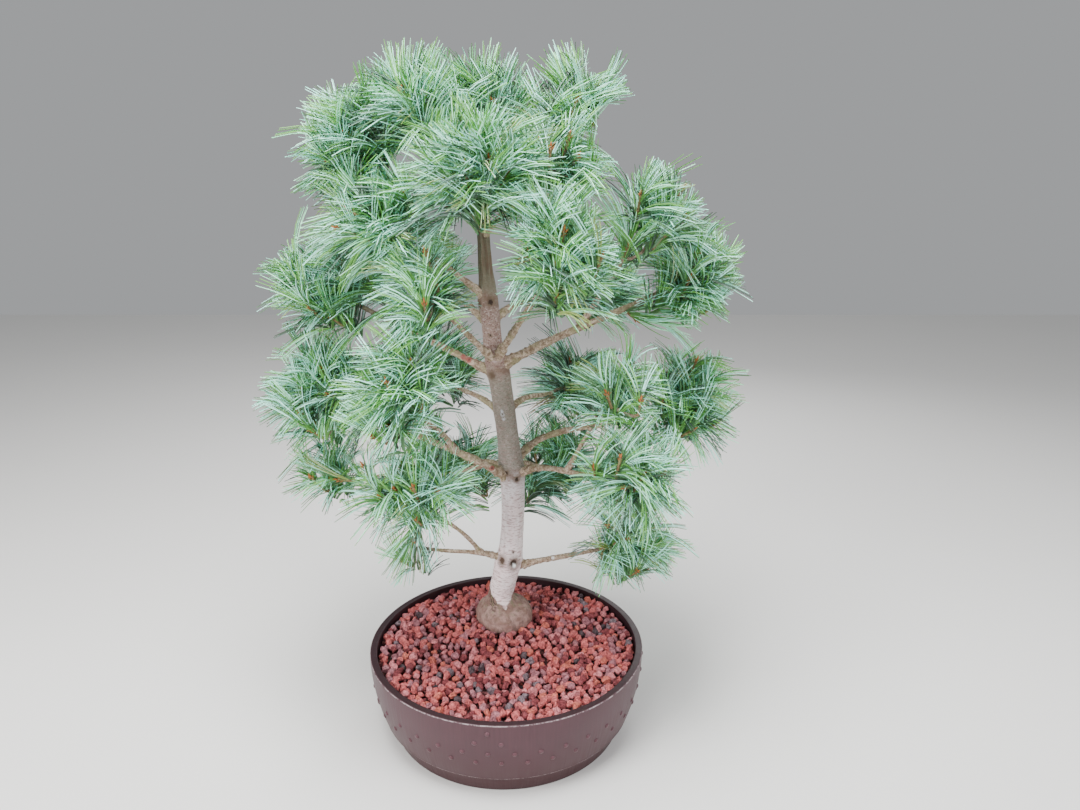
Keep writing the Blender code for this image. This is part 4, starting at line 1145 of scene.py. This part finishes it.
twig = {
    "radius": 0.0022, "tip": 0.0015, "rings": 8, "sides": 6, "early": 0.004, "shoot": 0.034, "least": 0.012,
    "straight": 0.8, "leave": 1.5, "arrive": 0.9, "beyond": 0.006, "shootShares": (0.3, 0.6, 0.85, 1.0),
    "rough": 0.3, "grain": 500.0, "branchAt": (3, 5), "stemRings": 9, "stemSides": 8, "stemRough": 0.2,
    "sunk": 0.004, "stemTaper": 0.02, "bud": 0.005,
}
bud = {
    "length": 0.0075, "radius": 0.0014, "sides": 5, "profile": (0.55, 1.0, 0.70, 0.12), "counts": (2, 3, 4),
    "turn": 2.1, "turnSpread": 0.6, "back": 0.001, "aside": 0.0016, "lean": 0.55, "sizes": (0.5, 0.75),
}
sheath = {
    "length": (0.0030, 0.0060), "radius": 0.0007, "count": 4, "zone": (-0.008, 0.003), "turn": 2.4,
    "turnSpread": 0.5, "aside": 0.001, "lean": (0.4, 1.4), "tip": 0.4, "sides": 3,
}


def growTwigs(name, sprays, rng, heap, budHeap):
    stem = stems[name]
    wide = crown["stemRadius"]
    first, last = (stem[1] - stem[0]).normalized(), (stem[-1] - stem[-2]).normalized()
    fine = limbLine(stem[0], first, stem[-1], last, twig["stemRings"])
    start = fine[0] - (fine[1] - fine[0]).normalized() * twig["sunk"]
    radii = [wide * (1 - twig["stemTaper"] * i) for i in range(len(fine))]
    heap.add(*tubeArrays([start, *fine], [wide, *radii], twig["stemSides"], twig["stemRough"]))
    joints = [(stem[i], (stem[i] - stem[i - 1]).normalized()) for i in range(1, len(stem))]
    for place, ahead in sprays:
        room = (place - stem[-1]).dot(ahead) * twig["straight"]
        shoot = min(twig["shoot"], max(twig["least"], room))
        back = place - ahead * shoot
        root, run = min(joints, key=lambda joint: (joint[0] - back).length + rng.uniform(0, twig["early"]))
        away = (back - root).normalized()
        pull = (back - root).length * limb["pull"]
        leave = (run + away * twig["leave"]).normalized()
        arrive = (ahead + away * twig["arrive"]).normalized()
        line = bezier(root, root + leave * pull, back - arrive * pull, back, twig["rings"])
        line += [back + ahead * (shoot + twig["beyond"]) * share for share in twig["shootShares"]]
        steps = len(line) - 1
        radii = [twig["radius"] + (twig["tip"] - twig["radius"]) * i / steps for i in range(steps + 1)]
        sides = twig["sides"]
        points, faces = tubeArrays(line, radii, sides, twig["rough"], twig["grain"], rng.uniform(0, 9))
        young = (np.arange(len(faces)) % (steps * sides)) > (twig["rings"] - 2) * sides
        heap.add(points, faces, young.astype(int))
        for i in twig["branchAt"]:
            joints.append((line[i], (line[i + 1] - line[i]).normalized()))
        growBuds(place + ahead * twig["bud"], ahead, rng, budHeap)


def growBuds(tip, ahead, rng, heap):
    # a cluster of narrow buds, and papery sheaths where the young bundles leave the shoot
    first, second = [Vector(vector[0]) for vector in sideways(np.array(ahead)[None, :])]
    places = [(tip, ahead, 1.0)]
    for i in range(rng.choice(bud["counts"])):
        turn = i * bud["turn"] + rng.uniform(0, bud["turnSpread"])
        side = first * math.cos(turn) + second * math.sin(turn)
        place = tip - ahead * bud["back"] + side * bud["aside"]
        places.append((place, (ahead + side * bud["lean"]).normalized(), rng.uniform(*bud["sizes"])))
    steps = len(bud["profile"]) - 1
    for place, aim, size in places:
        line = [place + aim * bud["length"] * size * i / steps for i in range(steps + 1)]
        heap.add(*tubeArrays(line, [bud["radius"] * size * share for share in bud["profile"]], bud["sides"]))
    for i in range(sheath["count"]):
        turn = i * sheath["turn"] + rng.uniform(0, sheath["turnSpread"])
        side = first * math.cos(turn) + second * math.sin(turn)
        place = tip + ahead * rng.uniform(*sheath["zone"]) + side * sheath["aside"]
        aim = (ahead + side * rng.uniform(*sheath["lean"])).normalized() * rng.uniform(*sheath["length"])
        radii = [sheath["radius"], sheath["radius"] * sheath["tip"]]
        heap.add(*tubeArrays([place, place + aim], radii, sheath["sides"]), 1)


pieces = {  # each needle piece, and the masses it is grown for
    "left_low": ("low_left", "left_tip_low", "left_front_low", "left_tip_mid", "left_front_mid"),
    "left_high": ("left_tip_high", "left_front_high", "left_mid_high", "left_shoulder", "top_left"),
    "right_low": ("low_right", "right_front_low", "right_front_mid", "right_tip_mid", "back_low_right"),
    "right_high": ("right_front_high", "right_tip_high", "right_mid_high", "right_neck", "top_right"),
    "back": ("back_low_left", "back_mid_left", "back_mid_right", "back_high_left", "back_high_right"),
    "top": ("top_front", "top_middle", "back_top"),
}


def growCrown():
    paints = needlePaints()
    twigHeap = Heap()
    budHeap = Heap()
    order = list(boughs)
    for piece, names in pieces.items():
        heap = Heap()
        for name in names:
            seed = order.index(name)
            rng = random.Random(seed)
            sprays = sprayPlaces(name, rng)
            grown = growNeedles(name, sprays, np.random.default_rng(seed), heap)
            growTwigs(name, grown, rng, twigHeap, budHeap)
        sprayPiece = heap.build("needles_" + piece + "_sprays", paints, False)
        fit(sprayPiece, "needles", *["needles_" + name for name in names])
    olderTwig = twigPaint("twig_bark", (0.36, 0.28, 0.21), (0.21, 0.15, 0.11), (0.25, 0.26, 0.16))
    youngTwig = twigPaint("young_twig_bark", (0.33, 0.23, 0.12), (0.21, 0.13, 0.07), (0.24, 0.27, 0.11))
    fit(twigHeap.build("twigs", [olderTwig, youngTwig]), "bark")
    scales = plainPaint("bud_scales", (0.42, 0.14, 0.045), 0.6, 900.0, 0.3, 0.0008)
    papery = plainPaint("needle_sheaths", (0.50, 0.24, 0.09), 0.7, 900.0, 0.3, 0.0008)
    fit(budHeap.build("buds", [scales, papery]), "bark")
    print(len(allTufts), "tufts")


growCrown()
print("crown grown")


# Pot: a turned wall with rounded edges, a ledge, a foot and rows of studs

pot = {
    "rimRadius": 0.175, "height": 0.108, "lip": 0.009, "footRadius": 0.147, "footTop": 0.1555,
    "footHeight": 0.024, "ledgeRadius": 0.1605, "ledgeHeight": 0.0265, "floor": 0.008, "innerFloor": 0.138,
    "bulge": 2.0, "steps": 240, "wallRings": 22, "wallEnds": (0.004, 0.002), "innerRings": 6,
    "innerEnds": (0.040, 0.002), "ledgeDrop": 0.0005, "underside": (0.12, 0.02),
    # the studs' paint is lighter than the wall's by this factor, a painted highlight
    "footEdge": ((0.0002, 0.0002), (0.0006, -0.0014)), "studPaintedHighlight": 1.4,
    # paintedShadeLowColour is painted shade, for the darker and redder lower wall
    # wornHighlightColour is the pale of worn edges, and also a painted highlight on them
    "colour": (0.062, 0.027, 0.034), "wornHighlightColour": (0.50, 0.43, 0.44), "paintedShadeLowColour": (0.046, 0.014, 0.017),
}
rounding = {"lip": 0.0011, "rim": 0.0016, "ledge": 0.0008, "foot": 0.0012}
# heights and depths between which the pot has painted shade (darker low down, inside the wall and on the rim's
# flat top) or worn edges that also carry a painted highlight
wearAndPaintedLight = {
    "low": (0.015, 0.080), "inside": (0.088, 0.090), "behindRim": (0.0016, 0.0010), "ledge": (0.028, 0.029),
    "rimFrom": (0.1064, 0.1070), "rimTo": (0.1076, 0.1079), "front": (-0.06, 0.10),
}
studs = {
    "radius": 0.0031, "height": 0.0018, "rings": 5, "sides": 12, "sunk": 0.0002, "root": 0.001,
    "least": 0.0002, "slopeStep": 0.002,
}
# height, first bearing from the front, and every how many degrees
studRows = ((0.054, 0, 10), (0.068, 5, 10), (0.083, -10, 90), (0.083, 0, 90), (0.097, -5, 90))


def wallRadius(height):
    share = (height - pot["ledgeHeight"]) / (pot["height"] - pot["ledgeHeight"])
    return pot["rimRadius"] - (pot["rimRadius"] - pot["ledgeRadius"]) * (1 - share) ** pot["bulge"]


def innerRadius(height):
    share = (height - pot["floor"]) / (pot["height"] - pot["floor"])
    top = pot["rimRadius"] - pot["lip"]
    return top - (top - pot["innerFloor"]) * (1 - share) ** pot["bulge"]


def roundedCorner(corner, before, after, radius, steps=4):
    corner, before, after = [Vector(point) for point in (corner, before, after)]
    first = corner + (before - corner).normalized() * radius
    last = corner + (after - corner).normalized() * radius
    points = []
    for i in range(steps + 1):
        t = i / steps
        points.append((1 - t) ** 2 * first + 2 * (1 - t) * t * corner + t * t * last)
    return [tuple(point) for point in points]


def potProfile():
    # rows of points down the outside, each with its paint: 0 plain, 1 worn edge with a painted highlight
    top, low = pot["height"], pot["ledgeHeight"]
    rim, lip = (pot["rimRadius"], top), (pot["rimRadius"] - pot["lip"], top)
    ledge, ledgeFoot = (pot["ledgeRadius"], low - pot["ledgeDrop"]), (pot["footTop"], pot["footHeight"])
    heights = np.linspace(top - pot["wallEnds"][0], low + pot["wallEnds"][1], pot["wallRings"])
    wall = [(wallRadius(z), z) for z in heights]
    depths = np.linspace(top - pot["innerEnds"][0], top - pot["innerEnds"][1], pot["innerRings"])
    inner = [(innerRadius(z), z) for z in depths]
    foot = [(pot["footTop"] - inward, pot["footHeight"] + rise) for inward, rise in pot["footEdge"]]
    bottom = (pot["footRadius"], 0.0)
    rows = (
        (inner, 0),
        (roundedCorner(lip, inner[-1], rim, rounding["lip"]), 0),
        (roundedCorner(rim, lip, wall[0], rounding["rim"]), 1),
        (wall, 0),
        (roundedCorner(ledge, wall[-1], ledgeFoot, rounding["ledge"]), 1),
        (foot, 0),
        (roundedCorner(bottom, foot[-1], (0.0, 0.0), rounding["foot"]), 0),
        ([(radius, 0.0) for radius in pot["underside"]], 0),
    )
    profile = [point for points, _ in rows for point in points]
    kinds = [kind for points, kind in rows for _ in points]
    return profile, kinds


def potPaint(name, wornAndHighlit=False, paintedHighlight=1.0):
    paint = Paint(name, Specular_IOR_Level=0.28)
    x, y, z = paint.axes()
    streak = paint.add("ShaderNodeCombineXYZ", {}, {"X": y.maths("ARCTAN2", y, x) * 9.0, "Y": z * 3.0})
    streaks = paint.add("ShaderNodeTexNoise", {}, {"Vector": streak, "Scale": 7.0, "Detail": 5.0})
    cloud = paint.grain(16.0)
    fine = paint.grain(700.0, detail=3.0)
    dust = paint.ramp(streaks * 0.6 + cloud * 0.5, 0.46, 0.78)
    # a factor over 1 paints the studs lighter, a painted highlight
    colour = shade(pot["colour"], paintedHighlight)
    base = paint.mix(dust * 0.45, colour, shade(colour, 1.7))
    # painted shade: the wall darkens and reddens towards the foot
    base = paint.mix(paint.ramp(z, *wearAndPaintedLight["low"]), shade(pot["paintedShadeLowColour"], paintedHighlight), base)
    # painted shade: the inside of the wall and the rim's flat top are darkened
    reach = x.maths("SQRT", x * x + y * y)
    within = paint.fade(reach, *[pot["rimRadius"] - behind for behind in wearAndPaintedLight["behindRim"]])
    base = paint.mix(paint.ramp(z, *wearAndPaintedLight["inside"]) * within * 0.85, base, shade(pot["colour"], 0.38))
    # the rim's outer edge and the ledge's edge: pale worn patches that are also a painted highlight, strongest
    # at the front
    if wornAndHighlit:
        patches = paint.ramp(paint.grain(210.0, detail=6.0, rough=0.7), 0.42, 0.60)
        patches = patches * (1 - paint.ramp(y, *wearAndPaintedLight["front"]) * 0.85)
        rim = paint.ramp(z, *wearAndPaintedLight["rimFrom"]) * paint.fade(z, *wearAndPaintedLight["rimTo"])
        edges = rim + paint.fade(z, *wearAndPaintedLight["ledge"])
        base = paint.mix(patches * edges * 0.70, base, pot["wornHighlightColour"])
    paint.show("Base Color", base)
    paint.show("Roughness", 0.38 + dust * 0.16 + fine * 0.06 - 0.08 * (paintedHighlight - 1))
    paint.bump(fine * 0.25 + streaks * 0.5 + cloud * 0.3, 0.35, 0.0007)
    return paint


def makePot():
    profile, kinds = potProfile()
    steps = pot["steps"]
    turn = np.arange(steps)
    points = [(r * math.cos(a), r * math.sin(a), z) for r, z in profile for a in turn * 2 * math.pi / steps]
    faces = gridFaces(len(profile), steps)[:, ::-1]
    heap = Heap()
    heap.add(points, faces, np.array(kinds)[faces.min(axis=1) // steps])
    fan = np.stack([np.full(steps, steps), (turn + 1) % steps, turn], axis=1)
    heap.add([*points[-steps:], (0.0, 0.0, 0.0)], fan)
    for height, offset, every in studRows:
        for i in range(360 // every):
            addStud(heap, height, 270 + offset + i * every)
    paints = [potPaint("pot_plastic"), potPaint("pot_worn_edge_and_painted_highlight", wornAndHighlit=True)]
    # the studs get a lighter copy of the pot's paint, a painted highlight
    paints.append(potPaint("pot_studs_painted_highlight", paintedHighlight=pot["studPaintedHighlight"]))
    return heap.build("pot_shell", paints)


def addStud(heap, height, bearing):
    out = bearingVector(bearing)
    foot = out * wallRadius(height) + Vector((0.0, 0.0, height))
    step = studs["slopeStep"]
    slope = (wallRadius(height + step) - wallRadius(height - step)) / (2 * step)
    ahead = (out - Vector((0.0, 0.0, slope))).normalized()
    shares = [math.sin(math.pi / 2 * i / (studs["rings"] - 1)) for i in range(studs["rings"])]
    line = [foot + ahead * (studs["height"] * share - studs["sunk"]) for share in shares]
    radii = [studs["radius"] * math.sqrt(max(0.0, 1 - share * share)) for share in shares]
    radii = [studs["radius"], *[max(radius, studs["least"]) for radius in radii]]
    heap.add(*tubeArrays([foot - ahead * studs["root"], *line], radii, studs["sides"]), 2)


fit(makePot(), "pot", "pot")
print("pot turned")


# Lava grit: a bed painted dark as the shade between the stones, and stones of a few colours over it

grit = {
    "radius": 0.1655, "edgeDrop": 0.006, "rise": 0.06, "seatRadius": 0.052, "lump": 0.0040,
    "lumpSpacing": 0.033, "lumpEdge": 0.012, "clear": 0.026, "uneven": (-0.0016, 0.0012), "misses": 900,
    "seed": 11,
}
bed = {
    "depth": 0.0080, "rings": 26, "steps": 96, "grain": 160, "rough": 0.0012, "bottom": 0.075,
    "narrow": 0.985,
}
chips = {"stretch": (0.72, 1.28), "depth": (0.44, 0.78), "rough": 0.075}
# each piece: subdivisions of the ball, spacing, sizes, height over the soil, flats, name and shade of paints
layers = {
    "lava_stones": (2, 0.0072, (0.0044, 0.0070), -0.0008, 9, "lava_", 1.0),
    # the crumbs' darker paints are painted shade in the gaps between the stones
    "lava_crumbs": (1, 0.0056, (0.0018, 0.0034), -0.0046, 3, "lava_deep_", 0.45),
}
stoneColours = {  # colour, and how many of a hundred stones have it
    "brick": ((0.59, 0.146, 0.144), 38), "rose": ((0.62, 0.205, 0.220), 21),
    "maroon": ((0.25, 0.060, 0.068), 14), "rust": ((0.60, 0.155, 0.120), 6),
    "mauve": ((0.40, 0.160, 0.185), 15), "ash": ((0.22, 0.158, 0.180), 4), "coal": ((0.105, 0.072, 0.082), 2),
}


def soilHeight(x, y):
    seatX, seatY, _ = trunkPlace(trunk["seat"])
    away = math.hypot(x - seatX, y - seatY)
    share = min(max((away - grit["seatRadius"]) / grit["rise"], 0.0), 1.0)
    edge = pot["height"] - grit["edgeDrop"]
    level = trunk["seat"] - (trunk["seat"] - edge) * share * share * (3 - 2 * share)
    # hollows between low lumps, which take turns from ring to ring, away from the seat and the wall
    reach = math.hypot(x, y)
    lumps = round(2 * math.pi * reach / grit["lumpSpacing"])
    turn = math.cos(math.atan2(y, x) * lumps) * math.cos(2 * math.pi * reach / grit["lumpSpacing"])
    wall = max(0.0, grit["radius"] - reach) / grit["lumpEdge"]
    fade = min(1.0, max(0.0, away / grit["seatRadius"] - 1) * 4, wall)
    return level - grit["lump"] * fade * (1 - turn) / 2


def scatter(rng, spacing, reach):
    # places no nearer to one another than the spacing, filled in until few more fit
    cells = {}
    places = []
    misses = 0
    while misses < grit["misses"]:
        angle = rng.uniform(0, 2 * math.pi)
        away = reach * math.sqrt(rng.random())
        x, y = away * math.cos(angle), away * math.sin(angle)
        cell = (int(x // spacing), int(y // spacing))
        near = [p for i in (-1, 0, 1) for j in (-1, 0, 1) for p in cells.get((cell[0] + i, cell[1] + j), [])]
        if any((x - a) ** 2 + (y - b) ** 2 < spacing * spacing for a, b in near):
            misses += 1
            continue
        misses = 0
        cells.setdefault(cell, []).append((x, y))
        places.append((x, y))
    return places


def ballArrays(subdivisions):
    shape = bmesh.new()
    bmesh.ops.create_icosphere(shape, subdivisions=subdivisions, radius=1.0)
    points = np.array([vertex.co[:] for vertex in shape.verts])
    faces = np.array([[vertex.index for vertex in face.verts] for face in shape.faces])
    shape.free()
    order = np.lexsort(np.round(points.T, 4))  # so that each run deals the same chips to the same corners
    return points[order], np.argsort(order)[faces]


def chipped(points, dice, flats):
    # a ball knocked flat by a few planes, then roughened
    shape = points * dice.uniform(*chips["stretch"], 3)
    for _ in range(flats):
        face = dice.normal(size=3)
        face /= np.linalg.norm(face)
        depth = dice.uniform(*chips["depth"])
        shape = shape - np.maximum(0.0, shape @ face - depth)[:, None] * face
    return shape * (1 + dice.normal(0, chips["rough"], (len(shape), 1)))


def turnedBy(dice):
    axes = np.linalg.qr(dice.normal(size=(3, 3)))[0]
    return axes * np.sign(np.linalg.det(axes))


def stonePaint(name, colour):
    paint = Paint(name, Roughness=0.92, Specular_IOR_Level=0.2)
    cloud = paint.grain(300.0, rough=0.65)
    pits = paint.ramp(paint.grain(850.0, detail=3.0), 0.54, 0.64)
    base = paint.mix(paint.ramp(cloud, 0.38, 0.66), shade(colour, 0.66), shade(colour, 1.36))
    paint.show("Base Color", paint.mix(pits * 0.6, base, shade(colour, 0.42)))
    paint.bump(cloud * 0.9 + (1 - pits) * 0.8, 1.0, 0.0016)
    return paint


def makeGrit():
    rng = random.Random(grit["seed"])
    dice = np.random.default_rng(grit["seed"])
    odds = np.cumsum([share for _, share in stoneColours.values()]) / 100
    seat = Vector(trunkPlace(trunk["seat"])[:2])
    for piece, (subdivisions, spacing, sizes, lift, flats, prefix, depth) in layers.items():
        points, faces = ballArrays(subdivisions)
        heap = Heap()
        for x, y in scatter(rng, spacing, grit["radius"] - sizes[0]):
            if (Vector((x, y)) - seat).length < grit["clear"]:
                continue
            size = rng.uniform(*sizes)
            height = soilHeight(x, y) + lift + rng.uniform(*grit["uneven"])
            inward = min(1.0, (grit["radius"] - size) / math.hypot(x, y))
            stone = chipped(points, dice, flats) * size @ turnedBy(dice)
            kind = int(np.searchsorted(odds, dice.uniform(0, 0.999)))
            heap.add(stone + (x * inward, y * inward, height), faces, kind)
        paints = []
        # for the crumbs the colours are darkened as painted shade
        for name, (colour, _) in stoneColours.items():
            paints.append(stonePaint(prefix + name, shade(colour, depth)))
        fit(heap.build(piece, paints, False), "soil")


def makeBed():
    # the bed that the stones lie in, down the inside of the pot's wall; its dark colour is painted shade for
    # the gaps between the stones
    turns = [2 * math.pi * j / bed["steps"] for j in range(bed["steps"])]
    points = []
    for i in range(bed["rings"]):
        away = grit["radius"] * (i + 1) / bed["rings"]
        for turn in turns:
            x, y = away * math.cos(turn), away * math.sin(turn)
            rough = noise.noise(Vector((x, y, 0.0)) * bed["grain"]) * bed["rough"]
            points.append((x, y, soilHeight(x, y) - bed["depth"] + rough))
    foot = grit["radius"] * bed["narrow"]
    points += [(foot * math.cos(turn), foot * math.sin(turn), bed["bottom"]) for turn in turns]
    points += [(0.0, 0.0, soilHeight(0.0, 0.0) - bed["depth"]), (0.0, 0.0, bed["bottom"])]
    heap = Heap()
    heap.add(points, tubeFaces(bed["rings"] + 1, bed["steps"])[:, ::-1])
    return heap.build("grit_bed", [plainPaint("grit_bed_painted_shade", (0.09, 0.036, 0.036), 0.95, 500.0, 0.5, 0.0015)])


fit(makeBed(), "soil", "soil")
makeGrit()
print("grit laid")
